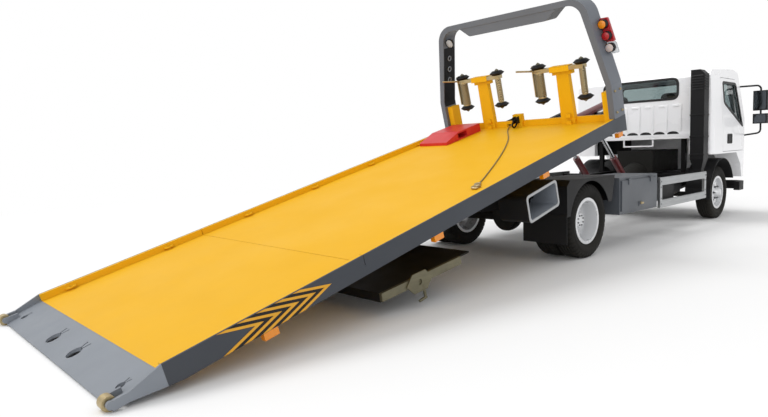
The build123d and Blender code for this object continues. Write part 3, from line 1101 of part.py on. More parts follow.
for side, side_name in ((-1, "right"), (1, "left")):
    with BuildPart() as roller:
        cross_pin(ROLLER_X, ROLLER_Z, ROLLER_R, span(side * ROLLER_Y, ROLLER_W))
        cross_pin(ROLLER_X, ROLLER_Z, ROLLER_PIN_R + RUN_GAP, span(side * ROLLER_Y, ROLLER_W + 2),
                  mode=Mode.SUBTRACT)
    save(f"tail_roller_{side_name}", roller.part, BED_POSE)

# Arch at the bed's front: bent box section with a deeper middle to its top bar
ARCH_X = (BED_FRONT_X - 235.0, BED_FRONT_X - 8.0)
ARCH_BASE_Y = DECK_HALF_W
ARCH_TOP_Y = DECK_HALF_W - 195.0
ARCH_KNEE_H = 400.0
ARCH_H = 1310.0
ARCH_T = 62.0
DROP_H = 165.0
DROP_TOP_Y = 640.0
DROP_LOW_Y = 510.0
arch_foot = DECK_Z + UPSTAND_H + RUN_GAP
with BuildPart() as arch:
    for shrink, mode in ((0, Mode.ADD), (ARCH_T, Mode.SUBTRACT)):
        with BuildSketch(Plane.YZ.offset(ARCH_X[0])) as outline:
            with BuildLine():
                low, top = ARCH_BASE_Y - shrink, ARCH_TOP_Y - shrink
                knee_z, top_z = DECK_Z + ARCH_KNEE_H, DECK_Z + ARCH_H - shrink
                Polyline((-low, arch_foot), (-low, knee_z), (-top, top_z), (top, top_z), (low, knee_z),
                         (low, arch_foot), close=True)
            make_face()
            fillet(outline.vertices().group_by(Axis.Y)[-1], 210 - shrink)
        extrude(amount=ARCH_X[1] - ARCH_X[0], mode=mode)
    # Drop plate under the middle of the top bar, its ends swept up to nothing
    with BuildSketch(Plane.YZ.offset(ARCH_X[0] + 8)) as drop:
        with BuildLine():
            high, low = DECK_Z + ARCH_H - ARCH_T + 1, DECK_Z + ARCH_H - DROP_H
            Polyline((-DROP_TOP_Y, high), (DROP_TOP_Y, high), (DROP_LOW_Y, low), (-DROP_LOW_Y, low),
                     close=True)
        make_face()
        fillet(drop.vertices().group_by(Axis.Y)[0], 60)
    extrude(amount=ARCH_X[1] - ARCH_X[0] - 16)
save("arch", arch.part, BED_POSE)

# Lamps on the bed: three on each arch post, a work lamp, and markers under the side rails
marker_stations = [150.0, 1625.0, 3115.0, 4615.0]
arch_lamp_heights = [1000.0, 880.0, 760.0]
LAMP_R = 40.0
LAMP_L = 50.0
LAMP_X = ARCH_X[1] - 80.0
with BuildPart() as bed_lamps:
    for side in (1, -1):
        for height in arch_lamp_heights:
            lean = ARCH_BASE_Y - (height - ARCH_KNEE_H) * (ARCH_BASE_Y - ARCH_TOP_Y) / (ARCH_H - ARCH_KNEE_H)
            with Locations(Location((LAMP_X, side * (lean + 42), DECK_Z + height), (0, 90, 0))):
                Cylinder(LAMP_R, LAMP_L)
            near = (lean - 20, lean + 40) if side > 0 else (-lean - 40, -lean + 20)
            block((LAMP_X + 10, LAMP_X + 24), near, span(DECK_Z + height, 70))
        for station in marker_stations:
            ys = both_sides(DECK_HALF_W - 42, DECK_HALF_W)[0 if side > 0 else 1]
            toe = max(0.0, RAIL_TOE * (1 - (station - 50) / RAIL_TOE_L))
            top = DECK_Z - RAIL_DEPTH - RUN_GAP - toe
            block(span(BED_FRONT_X - station, 100), ys, (top - 46, top))
    add(arch.part, mode=Mode.SUBTRACT)
save("bed_lamps", bed_lamps.part, BED_POSE)

# Wheel dollies hung on the two posts: crossbar, two roller arms, lever, and caster discs
DOLLY_HALF = 280.0
DOLLY_X = LIP_X[0] - 60.0
CASTER_R = 88.0
CASTER_T = 52.0
hang_top = DECK_Z + POST_H + RUN_GAP
with BuildPart() as dolly_frames:
    for middle in (POST_Y, -POST_Y):
        block(span(DOLLY_X + 20, 90), span(middle, 2 * DOLLY_HALF), (hang_top, hang_top + 44))
        for arm_y, radius in ((middle + DOLLY_HALF - 20, 46), (middle - DOLLY_HALF + 20, 30)):
            with BuildSketch(Plane.XY.offset(hang_top + 20)):
                with Locations((DOLLY_X, arm_y)):
                    Circle(radius)
            extrude(amount=-300)
        tube_between((DOLLY_X + 40, middle + DOLLY_HALF - 8, hang_top + 20),
                     (DOLLY_X + 70, middle + DOLLY_HALF + 130, hang_top + 32), 9)
save("dolly_frames", dolly_frames.part, BED_POSE)

with BuildPart() as dolly_casters:
    for middle in (POST_Y, -POST_Y):
        for arm_y in (middle + DOLLY_HALF - 20, middle - DOLLY_HALF + 20):
            for low in (hang_top + 44 + RUN_GAP, hang_top - 280 - RUN_GAP - CASTER_T):
                with BuildSketch(Plane.XY.offset(low)):
                    with Locations((DOLLY_X, arm_y)):
                        Circle(CASTER_R * 0.62)
                with BuildSketch(Plane.XY.offset(low + CASTER_T / 2)):
                    with Locations((DOLLY_X, arm_y)):
                        Circle(CASTER_R)
                with BuildSketch(Plane.XY.offset(low + CASTER_T)):
                    with Locations((DOLLY_X, arm_y)):
                        Circle(CASTER_R * 0.62)
                loft(ruled=True)
save("dolly_casters", dolly_casters.part, BED_POSE)

# Winch ahead of the lip, with its rope out along the deck and the hook at its end
WINCH_X = BED_FRONT_X + 112.0
WINCH_Z = 970.0
DRUM_R = 48.0
ROPE_R = 6.0
with BuildPart() as winch:
    for ys in both_sides(340, 354):
        block((BED_FRONT_X + RUN_GAP, BED_FRONT_X + 210), ys, (885, 1060))
    block((BED_FRONT_X + RUN_GAP, BED_FRONT_X + 20), (-354, 354), (885, 930))
    cross_pin(WINCH_X, WINCH_Z, DRUM_R, (-345, 345))
    cross_pin(WINCH_X, WINCH_Z, 62, (350, 520))
save("winch", winch.part, BED_POSE)

# columns: distance back from the bed's front edge, station across, height of the rope's middle over the deck
rope_route = [
    (-112.0, 300.0, WINCH_Z + DRUM_R + ROPE_R + RUN_GAP - DECK_Z), (0.0, 276.0, 22.0), (110.0, 243.0, 12.0),
    (230.0, 187.0, 6.8), (365.0, 98.0, 6.3), (510.0, -8.0, 6.3), (665.0, -118.0, 6.3), (825.0, -214.0, 6.3),
    (990.0, -305.0, 6.3), (1155.0, -392.0, 6.3), (1320.0, -474.0, 6.3), (1485.0, -553.0, 6.3),
    (1650.0, -628.0, 6.3), (1815.0, -702.0, 6.3), (1975.0, -770.0, 6.3), (2105.0, -827.0, 6.3),
    (2230.0, -872.0, 6.3),
]
rope_points = [Vector(BED_FRONT_X - back, across, DECK_Z + height) for back, across, height in rope_route]
rope_radii = []
for before, corner, after in zip(rope_points, rope_points[1:], rope_points[2:]):
    turn = math.radians((corner - before).get_angle(after - corner))
    shorter = min((corner - before).length, (after - corner).length)
    rope_radii.append(0.45 * shorter / math.tan(turn / 2))
print("rope radii", [round(radius) for radius in rope_radii])
with BuildPart() as winch_rope:
    with BuildLine() as path:
        FilletPolyline(*rope_points, radius=rope_radii)
    with BuildSketch(Plane(origin=path.line @ 0, z_dir=path.line % 0)):
        Circle(ROPE_R)
    sweep()
save("winch_rope", winch_rope.part, BED_POSE)

with BuildPart() as rope_hook:
    hook_dir = (rope_points[-1] - rope_points[-2]).normalized()
    hook_at = (rope_points[-1].X, rope_points[-1].Y, DECK_Z + RUN_GAP + 12)
    eye = Plane(origin=hook_at, x_dir=hook_dir, z_dir=(0, 0, 1))
    with Locations(eye):
        with Locations((33, 0, 0)):
            Torus(24, 8)
        with Locations((72, 0, 0)):
            Box(44, 24, 24)
        with Locations((122, 12, 0)):
            Torus(32, 11)
        with Locations((134, 44, 0)):
            Box(30, 34, 30, mode=Mode.SUBTRACT)
save("rope_hook", rope_hook.part, BED_POSE)

# Red ramp block with a hand opening, loose on the deck at the left
CHOCK_X = (BED_FRONT_X - 870.0, BED_FRONT_X - 200.0)
CHOCK_Y = (DECK_HALF_W - 535.0, DECK_HALF_W - 105.0)
CHOCK_H = 100.0
with BuildPart() as ramp_block:
    with BuildSketch(Plane.XZ.offset(-CHOCK_Y[1])):
        with BuildLine():
            Polyline((CHOCK_X[0], DECK_Z + RUN_GAP), (CHOCK_X[1], DECK_Z + RUN_GAP),
                     (CHOCK_X[1], DECK_Z + CHOCK_H), (CHOCK_X[0] + 260, DECK_Z + CHOCK_H),
                     (CHOCK_X[0], DECK_Z + 35), close=True)
        make_face()
    extrude(amount=CHOCK_Y[1] - CHOCK_Y[0])
    block((CHOCK_X[0] + 230, CHOCK_X[0] + 400), (CHOCK_Y[0] - 1, CHOCK_Y[0] + 130),
          (DECK_Z + 20, DECK_Z + 80), mode=Mode.SUBTRACT)
save("ramp_block", ramp_block.part, BED_POSE)
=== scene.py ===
# %% [markdown]
# # Slide-bed tow truck
# The truck stands with its bed run back and its tail on the ground, ready to load a vehicle.
# Its solids come as a fixed frame: the cells below dress them, and add what is too small for them.

# %% Load the frame
import json
import math

import bmesh
import bpy
from mathutils import Matrix, Vector


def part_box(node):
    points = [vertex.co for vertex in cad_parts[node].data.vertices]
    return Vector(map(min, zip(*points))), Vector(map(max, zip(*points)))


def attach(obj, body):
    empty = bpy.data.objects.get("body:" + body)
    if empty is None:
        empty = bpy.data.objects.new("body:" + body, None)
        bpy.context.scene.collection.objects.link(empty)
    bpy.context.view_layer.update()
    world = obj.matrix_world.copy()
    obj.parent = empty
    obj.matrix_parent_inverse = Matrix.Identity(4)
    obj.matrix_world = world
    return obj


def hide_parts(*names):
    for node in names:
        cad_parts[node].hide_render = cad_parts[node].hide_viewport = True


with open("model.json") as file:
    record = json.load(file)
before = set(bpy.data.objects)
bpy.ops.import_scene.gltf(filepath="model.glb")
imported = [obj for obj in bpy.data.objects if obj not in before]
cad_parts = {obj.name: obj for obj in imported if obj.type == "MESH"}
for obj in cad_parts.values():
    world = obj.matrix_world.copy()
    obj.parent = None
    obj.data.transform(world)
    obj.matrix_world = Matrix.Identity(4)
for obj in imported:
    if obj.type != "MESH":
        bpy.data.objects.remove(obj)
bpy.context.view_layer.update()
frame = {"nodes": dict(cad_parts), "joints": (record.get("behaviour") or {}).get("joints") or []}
nodes = frame["nodes"]

# %% [markdown]
# The bed is easiest to dress in its own directions: x ahead of its front edge, y to the left and
# z above the deck. The joints of the frame say how far it has slid and tilted, so one matrix
# carries a piece from those directions to where the bed is now.

# %% Stations of the truck, read from the frame
BED_FRONT_FROM_PIVOT = 3.820
DECK_HEIGHT = 0.997
CAB_HALF_WIDTH = 1.045

joints = {joint["name"]: joint for joint in frame["joints"]}
pivot = Vector(joints["bed_tilt"]["pos_m"])
tilt = math.radians(joints["bed_tilt"]["range_deg"][1])
slide = joints["bed_slide"]["range_m"][1]
tilt_pose = Matrix.Translation(pivot) @ Matrix.Rotation(-tilt, 4, "Y") @ Matrix.Translation(-pivot)
bed_front = Matrix.Translation((pivot.x + BED_FRONT_FROM_PIVOT - slide, 0, DECK_HEIGHT))
bed_pose = tilt_pose @ bed_front
level = Matrix.Identity(4)


def middle_of(node):
    """The middle of a node's box."""
    low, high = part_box(node)
    return (low + high) / 2


rear_axle_x = middle_of("rear_tyres_right").x
front_axle_x = middle_of("front_tyre_right").x
cab_low, cab_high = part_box("cab_shell")
cab_rear_x, cab_front_x = cab_low.x, cab_high.x
print("rear axle at", round(rear_axle_x, 3), "bed front at", [round(c, 3) for c in bed_pose.translation])

# %% [markdown]
# The camera stands low behind the truck's right corner, as in the photograph. Its place, turn and
# lens were worked out from the wheels, the deck's edges and the cab's corners.

# %% Camera
CAMERA_FROM_REAR_AXLE = Vector((-5.7137, -4.0355, 1.201))
YAW, PITCH, ROLL = math.radians(46.884), math.radians(-5.72), math.radians(-2.021)
LENS_MM = 28.12

ahead = Vector((math.cos(PITCH) * math.cos(YAW), math.cos(PITCH) * math.sin(YAW), math.sin(PITCH)))
across = ahead.cross(Vector((0, 0, 1))).normalized()
upward = across.cross(ahead)
right = math.cos(ROLL) * across + math.sin(ROLL) * upward
top = -math.sin(ROLL) * across + math.cos(ROLL) * upward
camera = bpy.data.objects.new("camera", bpy.data.cameras.new("camera"))
camera.data.lens = LENS_MM
camera.data.sensor_width = 36.0
camera.data.clip_end = 200.0
turn = Matrix((right, top, -ahead)).transposed().to_4x4()
camera.matrix_world = Matrix.Translation(CAMERA_FROM_REAR_AXLE + Vector((rear_axle_x, 0, 0))) @ turn
bpy.context.scene.collection.objects.link(camera)
bpy.context.scene.camera = camera
bpy.context.scene.view_settings.view_transform = "Standard"

# %% [markdown]
# Materials are built from nodes. One function adds a node, sets what it is given and links what is
# a socket; another turns the hex values of colours into the linear values that Blender works in.

# %% Colours and nodes


def linear(hex_code):
    """An sRGB hex value as a linear colour."""
    shares = [int(hex_code[at:at + 2], 16) / 255 for at in (1, 3, 5)]
    return [c / 12.92 if c <= 0.04045 else ((c + 0.055) / 1.055) ** 2.4 for c in shares] + [1.0]


def add(tree, kind, inputs=None, **settings):
    """One node with its settings: an input that is a socket is linked, any other is set."""
    node = tree.nodes.new(kind)
    for key, value in settings.items():
        setattr(node, key, value)
    for key, value in (inputs or {}).items():
        if isinstance(value, bpy.types.NodeSocket):
            tree.links.new(value, node.inputs[key])
        else:
            node.inputs[key].default_value = value
    return node


def blank_finish(name):
    """A new material with an empty tree."""
    material = bpy.data.materials.new(name)
    material.use_nodes = True
    material.node_tree.nodes.clear()
    return material, material.node_tree


def per_metre(size_mm):
    """The texture scale whose features are about this many millimetres across."""
    return 1000.0 / size_mm


# %% [markdown]
# Plain studio: a pale floor that keeps the truck's soft shadow and fades to white far away, an
# even white sky, one broad sun from the truck's left that leaves the near side in soft shade, and a
# weak fill from behind the camera that brightens what faces it.

# %% Floor and light
FLOOR_REACH = 60.0
FADE_FROM, FADE_TO = 6.5, 12.0

floor_finish, tree = blank_finish("studio_floor")
place = add(tree, "ShaderNodeTexCoord")
away = add(tree, "ShaderNodeVectorMath", {0: place.outputs["Object"]}, operation="LENGTH")
fade = add(tree, "ShaderNodeMapRange", {"Value": away.outputs["Value"], "From Min": FADE_FROM,
                                        "From Max": FADE_TO})
path = add(tree, "ShaderNodeLightPath")
seen = add(tree, "ShaderNodeMath", {0: path.outputs["Is Camera Ray"], 1: path.outputs["Is Glossy Ray"]},
           operation="MAXIMUM")
share = add(tree, "ShaderNodeMath", {0: seen.outputs[0], 1: fade.outputs["Result"]}, operation="MULTIPLY")
matt = add(tree, "ShaderNodeBsdfDiffuse", {"Color": linear("#F4F4F4")})
white = add(tree, "ShaderNodeEmission", {"Color": (1, 1, 1, 1), "Strength": 1.0})
mixed = add(tree, "ShaderNodeMixShader", {0: share.outputs[0], 1: matt.outputs[0], 2: white.outputs[0]})
add(tree, "ShaderNodeOutputMaterial", {"Surface": mixed.outputs[0]})

corners = ((-1, -1), (1, -1), (1, 1), (-1, 1))
floor_mesh = bpy.data.meshes.new("floor")
floor_mesh.from_pydata([(x * FLOOR_REACH, y * FLOOR_REACH, 0) for x, y in corners], [], [(0, 1, 2, 3)])
floor_mesh.materials.append(floor_finish)
floor = bpy.data.objects.new("floor", floor_mesh)
bpy.context.scene.collection.objects.link(floor)

SKY_LIGHT = 0.80
world = bpy.data.worlds.new("white_sky")
world.use_nodes = True
world.node_tree.nodes.clear()
path = add(world.node_tree, "ShaderNodeLightPath")
seen = add(world.node_tree, "ShaderNodeMath",
           {0: path.outputs["Is Camera Ray"], 1: path.outputs["Is Transmission Ray"]}, operation="MAXIMUM")
strength = add(world.node_tree, "ShaderNodeMapRange",
               {"Value": seen.outputs[0], "To Min": SKY_LIGHT, "To Max": 1.0})
sky = add(world.node_tree, "ShaderNodeBackground",
          {"Color": (1, 1, 1, 1), "Strength": strength.outputs["Result"]})
add(world.node_tree, "ShaderNodeOutputWorld", {"Surface": sky.outputs[0]})
bpy.context.scene.world = world

# columns: name, way the light travels, strength, spread in degrees
for name, travel, energy, spread in (("sun", (0.22, -0.50, -0.84), 1.05, 35),
                                     ("fill", (0.88, 0.36, -0.18), 0.85, 60)):
    lamp = bpy.data.objects.new(name, bpy.data.lights.new(name, "SUN"))
    lamp.data.energy = energy
    lamp.data.angle = math.radians(spread)
    lamp.rotation_mode = "QUATERNION"
    lamp.rotation_quaternion = Vector(travel).to_track_quat("-Z", "Y")
    bpy.context.scene.collection.objects.link(lamp)
print("light: white sky,", len(bpy.data.lights), "suns")

# %% [markdown]
# Most of the truck is sprayed or moulded, and such surfaces differ in only a few ways: the colour,
# how much it varies from patch to patch, the gloss, the fine texture of the skin, and how dust
# settles low down and paint wears on edges. One function makes them all from those numbers.

# %% Coated and moulded surfaces
EDGE_MM = 4.0
DUST = "#8C8577"


def coated(name, colour, second, patch_mm, rough, skin_mm, skin, coat=0.0, metallic=0.0, worn=None,
           dust=0.25, shine=0.5):
    """A coated surface: two tones in patches, a fine skin, worn edges, and dust towards the ground."""
    material, tree = blank_finish(name)
    place = add(tree, "ShaderNodeTexCoord").outputs["Object"]
    patches = add(tree, "ShaderNodeTexNoise", {"Vector": place, "Scale": per_metre(patch_mm), "Detail": 5.0})
    tone = add(tree, "ShaderNodeMix", {0: patches.outputs["Fac"], 6: linear(colour), 7: linear(second)},
               data_type="RGBA")
    tint = tone.outputs[2]
    rounded = add(tree, "ShaderNodeBevel", {"Radius": EDGE_MM / 1000}, samples=3)
    if worn:
        true = add(tree, "ShaderNodeNewGeometry")
        same = add(tree, "ShaderNodeVectorMath", {0: rounded.outputs[0], 1: true.outputs["Normal"]},
                   operation="DOT_PRODUCT")
        edge = add(tree, "ShaderNodeMapRange", {"Value": same.outputs["Value"], "From Min": 0.985,
                                                "From Max": 0.90, "To Max": 0.8})
        chips = add(tree, "ShaderNodeTexNoise", {"Vector": place, "Scale": per_metre(22), "Detail": 3.0})
        chipped = add(tree, "ShaderNodeMath", {0: edge.outputs["Result"], 1: chips.outputs["Fac"]},
                      operation="MULTIPLY")
        bare = add(tree, "ShaderNodeMix", {0: chipped.outputs[0], 6: tint, 7: linear(worn)}, data_type="RGBA")
        tint = bare.outputs[2]
    if dust:
        apart = add(tree, "ShaderNodeSeparateXYZ", {0: place})
        low = add(tree, "ShaderNodeMapRange", {"Value": apart.outputs["Z"], "From Min": 1.1, "From Max": 0.05,
                                               "To Max": dust})
        drifts = add(tree, "ShaderNodeTexNoise", {"Vector": place, "Scale": per_metre(260), "Detail": 6.0})
        film = add(tree, "ShaderNodeMath", {0: low.outputs["Result"], 1: drifts.outputs["Fac"]},
                   operation="MULTIPLY")
        dusty = add(tree, "ShaderNodeMix", {0: film.outputs[0], 6: tint, 7: linear(DUST)}, data_type="RGBA")
        tint = dusty.outputs[2]
    grain = add(tree, "ShaderNodeTexNoise", {"Vector": place, "Scale": per_metre(skin_mm), "Detail": 2.0})
    gloss = add(tree, "ShaderNodeMapRange", {"Value": patches.outputs["Fac"], "From Min": 0.3, "From Max": 0.7,
                                             "To Min": rough - 0.06, "To Max": rough + 0.08})
    relief = add(tree, "ShaderNodeBump", {"Strength": skin, "Distance": 0.001, "Height": grain.outputs["Fac"],
                                          "Normal": rounded.outputs[0]})
    shader = add(tree, "ShaderNodeBsdfPrincipled", {
        "Base Color": tint, "Roughness": gloss.outputs["Result"], "Normal": relief.outputs["Normal"],
        "Metallic": metallic, "Coat Weight": coat, "Coat Roughness": 0.08, "Specular IOR Level": shine})
    add(tree, "ShaderNodeOutputMaterial", {"Surface": shader.outputs[0]})
    return material


# Alkyd enamel on rolled plate: warm yellow, slightly wavy, dull where tyres have run over it
deck_yellow = coated("alkyd_enamel_yellow", "#EFB815", "#E6AC12", 700, 0.50, 5, 0.25, worn="#A8842F", dust=0.10,
                     shine=0.12)
# Two-pack enamel on folded sheet: cool grey with a soft sheen
arch_grey = coated("two_pack_enamel_grey", "#676C74", "#5F646C", 500, 0.42, 6, 0.2, worn="#868B92", dust=0.2)
# The same enamel on the toolbox, a shade darker all over
box_grey = coated("two_pack_enamel_darker", "#50555C", "#494E55", 400, 0.44, 6, 0.2, worn="#737880", dust=0.12)
# The same enamel painted darker on the long side rails: painted shade for the sun's shade on their sides
rail_grey_painted_shade = coated("two_pack_enamel_painted_shade", "#3B4048", "#353940", 600, 0.44, 6, 0.2, worn="#6F747B",
                   dust=0.06, shine=0.35)
# The same enamel painted lighter on the tail plate: painted light for its top, lit from above; its edges are worn
# lighter still
tail_grey_painted_light = coated("worn_enamel_grey_painted_light", "#868C95", "#7B8189", 300, 0.45, 6, 0.3, worn="#A9ADB2", dust=0.1,
                   shine=0.3)
# Baked enamel on pressed cab panels: clear white with a glossy coat
cab_white = coated("baked_enamel_white", "#F6F6F8", "#F2F2F4", 900, 0.28, 4, 0.05, coat=0.6, dust=0.04)
# Chassis enamel: black, half gloss, thin on its edges
chassis_black = coated("chassis_enamel_black", "#060607", "#0A0A0B", 240, 0.48, 7, 0.35, worn="#232220",
                       dust=0.03, shine=0.22)
# Grained polypropylene mouldings
plastic_black = coated("grained_polypropylene_black", "#0C0C0E", "#111113", 300, 0.52, 2.5, 0.5, dust=0.02,
                       shine=0.3)
# Black reflective ground of the warning stripes
film_black = coated("retroreflective_film_black", "#121211", "#181815", 60, 0.34, 3, 0.2, dust=0.0, shine=0.3)
# Gloss enamel on hydraulic cylinders
hydraulic_maroon = coated("gloss_enamel_maroon", "#6E2429", "#5F1E23", 200, 0.32, 6, 0.2, coat=0.3,
                          worn="#8C5552")
# Rotomoulded polyethylene
moulded_red = coated("rotomoulded_polyethylene_red", "#D3282A", "#C22023", 160, 0.38, 4, 0.3, worn="#E06A60",
                     dust=0.0)
# Silver wheel enamel: metal flakes in a clear binder
wheel_silver = coated("flake_enamel_silver", "#E2E3E5", "#D6D7D9", 120, 0.30, 3, 0.08, coat=0.3, metallic=0.25,
                      dust=0.05)
# Cast iron and forgings under the truck
axle_iron = coated("cast_iron_dusty", "#0F0F0E", "#181715", 90, 0.66, 4, 0.8, dust=0.12, shine=0.25)
# Carbon-filled natural rubber: dull black that greys as it weathers
tyre_black = coated("weathered_tyre_rubber", "#0D0D0D", "#141413", 110, 0.78, 3, 0.5, dust=0.10, shine=0.2)
# Moulded EPDM rubber of window seals: black with a soft sheen
seal_black = coated("epdm_rubber_black", "#131314", "#1A1A1B", 80, 0.48, 3, 0.3, dust=0.0)
# Retroreflective film: amber with fine cells, flat on the rail
film_amber = coated("retroreflective_film_amber", "#E3A62A", "#D89A22", 60, 0.36, 3, 0.2, dust=0.05, shine=0.3)
print("coated finishes:", len(bpy.data.materials) - 1)

# %% [markdown]
# Bare metals shine: zinc plating keeps a straw-coloured film with cloudy patches, extruded
# aluminium is drawn in fine lines, and the hydraulic rods are ground and chromed.

# %% Bare metals


def bare_metal(name, colour, second, patch_mm, rough, drawn_mm, drawn=0.15):
    """A metal surface: two tones in clouds, and fine lines drawn along the truck."""
    material, tree = blank_finish(name)
    place = add(tree, "ShaderNodeTexCoord").outputs["Object"]
    clouds = add(tree, "ShaderNodeTexNoise", {"Vector": place, "Scale": per_metre(patch_mm), "Detail": 5.0})
    tone = add(tree, "ShaderNodeMix", {0: clouds.outputs["Fac"], 6: linear(colour), 7: linear(second)},
               data_type="RGBA")
    stretched = add(tree, "ShaderNodeMapping", {"Vector": place, "Scale": (0.03, 1.0, 1.0)})
    lines = add(tree, "ShaderNodeTexNoise", {"Vector": stretched.outputs[0], "Scale": per_metre(drawn_mm),
                                             "Detail": 3.0})
    gloss = add(tree, "ShaderNodeMapRange", {"Value": lines.outputs["Fac"], "From Min": 0.3, "From Max": 0.7,
                                             "To Min": max(rough - 0.06, 0.04), "To Max": rough + 0.1})
    rounded = add(tree, "ShaderNodeBevel", {"Radius": EDGE_MM / 1000}, samples=3)
    relief = add(tree, "ShaderNodeBump", {"Strength": drawn, "Distance": 0.0006, "Height": lines.outputs["Fac"],
                                          "Normal": rounded.outputs[0]})
    shader = add(tree, "ShaderNodeBsdfPrincipled", {
        "Base Color": tone.outputs[2], "Roughness": gloss.outputs["Result"],
        "Normal": relief.outputs["Normal"], "Metallic": 1.0})
    add(tree, "ShaderNodeOutputMaterial", {"Surface": shader.outputs[0]})
    return material


# Yellow-passivated zinc plate: straw and pink clouds over a soft metal shine
zinc_plate = bare_metal("passivated_zinc_plate", "#C9B88E", "#A99670", 60, 0.40, 9)
# The same plating dulled to olive by road dirt
aged_zinc = bare_metal("dulled_zinc_plate", "#8F8A72", "#6C6859", 90, 0.52, 9)
# Extruded aluminium: pale, with drawing lines along its length
drawn_aluminium = bare_metal("extruded_aluminium", "#B9BBBC", "#A7A9AA", 300, 0.38, 5)
# Ground and hard-chromed rod: nearly a mirror
hard_chrome = bare_metal("hard_chrome", "#D5D7DA", "#CBCDD0", 200, 0.12, 4, 0.05)
# Forged and tumbled steel fittings
forged_steel = bare_metal("forged_steel", "#7B7C7E", "#636466", 30, 0.42, 6, 0.3)
# Drawn steel wire, dark with grease between the strands
rope_wire = bare_metal("greased_steel_wire", "#A39572", "#837657", 25, 0.46, 3, 0.2)
# Mirror glass with a dark chrome backing, which dims what it shows
mirror_silver = bare_metal("dark_chrome_mirror", "#4A4E52", "#44484C", 400, 0.06, 8, 0.0)
# Knurled zinc: raised diamonds, darker in the grooves between them
knurled_zinc, tree = blank_finish("knurled_zinc_plate")
place = add(tree, "ShaderNodeTexCoord").outputs["Object"]
other_way = add(tree, "ShaderNodeMapping", {"Vector": place, "Scale": (-1.0, -1.0, 1.0)})
rising, falling = [add(tree, "ShaderNodeTexWave", {"Vector": vector, "Scale": per_metre(5) / 6.283},
                       bands_direction="DIAGONAL") for vector in (place, other_way.outputs[0])]
raised = add(tree, "ShaderNodeMath", {0: rising.outputs["Fac"], 1: falling.outputs["Fac"]}, operation="MINIMUM")
filled = add(tree, "ShaderNodeMapRange", {"Value": raised.outputs[0], "From Min": 0.10, "From Max": 0.40})
tone = add(tree, "ShaderNodeMix", {0: filled.outputs["Result"], 6: linear("#3B3427"), 7: linear("#D8C9A0")},
           data_type="RGBA")
relief = add(tree, "ShaderNodeBump", {"Strength": 0.6, "Distance": 0.002, "Height": filled.outputs["Result"]})
shader = add(tree, "ShaderNodeBsdfPrincipled", {
    "Base Color": tone.outputs[2], "Roughness": 0.45, "Metallic": 0.6, "Normal": relief.outputs["Normal"]})
add(tree, "ShaderNodeOutputMaterial", {"Surface": shader.outputs[0]})
print("finishes so far:", len(bpy.data.materials) - 1)

# %% [markdown]
# Lenses are tinted acrylic with moulded ribs inside, which break up the light; the windows are
# clear toughened glass, thick enough to look slightly green.

# %% Lenses and glass


def lens(name, colour, through, rib_mm, glow=0.0):
    """A moulded lens: tinted, partly see-through, with ribs that run across it."""
    material, tree = blank_finish(name)
    place = add(tree, "ShaderNodeTexCoord").outputs["Object"]
    ribs = add(tree, "ShaderNodeTexWave", {"Vector": place, "Scale": per_metre(rib_mm) / 6.283, "Distortion": 0.0},
               bands_direction="Y")
    relief = add(tree, "ShaderNodeBump", {"Strength": 0.5, "Distance": 0.001, "Height": ribs.outputs["Fac"]})
    cloud = add(tree, "ShaderNodeTexNoise", {"Vector": place, "Scale": per_metre(40)})
    gloss = add(tree, "ShaderNodeMapRange", {"Value": cloud.outputs["Fac"], "To Min": 0.08, "To Max": 0.2})
    shader = add(tree, "ShaderNodeBsdfPrincipled", {
        "Base Color": linear(colour), "Roughness": gloss.outputs["Result"], "IOR": 1.49,
        "Normal": relief.outputs["Normal"], "Transmission Weight": through, "Coat Weight": 0.3,
        "Emission Color": linear(colour), "Emission Strength": glow})
    add(tree, "ShaderNodeOutputMaterial", {"Surface": shader.outputs[0]})
    return material


amber_lens = lens("acrylic_lens_amber", "#EE920C", 0.25, 8, 0.05)
red_lens = lens("acrylic_lens_red", "#B0121C", 0.25, 8, 0.05)
clear_lens = lens("acrylic_lens_clear", "#E9ECEF", 0.5, 10)

window_glass, tree = blank_finish("toughened_glass")
place = add(tree, "ShaderNodeTexCoord").outputs["Object"]
wave = add(tree, "ShaderNodeTexNoise", {"Vector": place, "Scale": per_metre(600), "Detail": 1.0})
film = add(tree, "ShaderNodeMapRange", {"Value": wave.outputs["Fac"], "To Min": 0.01, "To Max": 0.05})
shader = add(tree, "ShaderNodeBsdfPrincipled", {
    "Base Color": linear("#B9C4C4"), "Roughness": film.outputs["Result"], "IOR": 1.45, "Transmission Weight": 1.0})
add(tree, "ShaderNodeOutputMaterial", {"Surface": shader.outputs[0]})

# Woven polyester seat cloth: two thread colours crossing every 3 mm, drawn coarse so that it shows
seat_cloth, tree = blank_finish("woven_polyester")
place = add(tree, "ShaderNodeTexCoord").outputs["Object"]
warp = add(tree, "ShaderNodeTexWave", {"Vector": place, "Scale": per_metre(3) / 6.283}, bands_direction="Y")
weft = add(tree, "ShaderNodeTexWave", {"Vector": place, "Scale": per_metre(3) / 6.283}, bands_direction="Z")
cross = add(tree, "ShaderNodeMath", {0: warp.outputs["Fac"], 1: weft.outputs["Fac"]}, operation="MULTIPLY")
tone = add(tree, "ShaderNodeMix", {0: cross.outputs[0], 6: linear("#2B2D31"), 7: linear("#484B50")},
           data_type="RGBA")
relief = add(tree, "ShaderNodeBump", {"Strength": 0.5, "Distance": 0.001, "Height": cross.outputs[0]})
shader = add(tree, "ShaderNodeBsdfPrincipled", {
    "Base Color": tone.outputs[2], "Roughness": 0.9, "Sheen Weight": 0.3, "Normal": relief.outputs["Normal"]})
add(tree, "ShaderNodeOutputMaterial", {"Surface": shader.outputs[0]})
print("all finishes:", len(bpy.data.materials) - 1)

# %% [markdown]
# The solids whose shape is right keep it and only take a finish. A table says which.

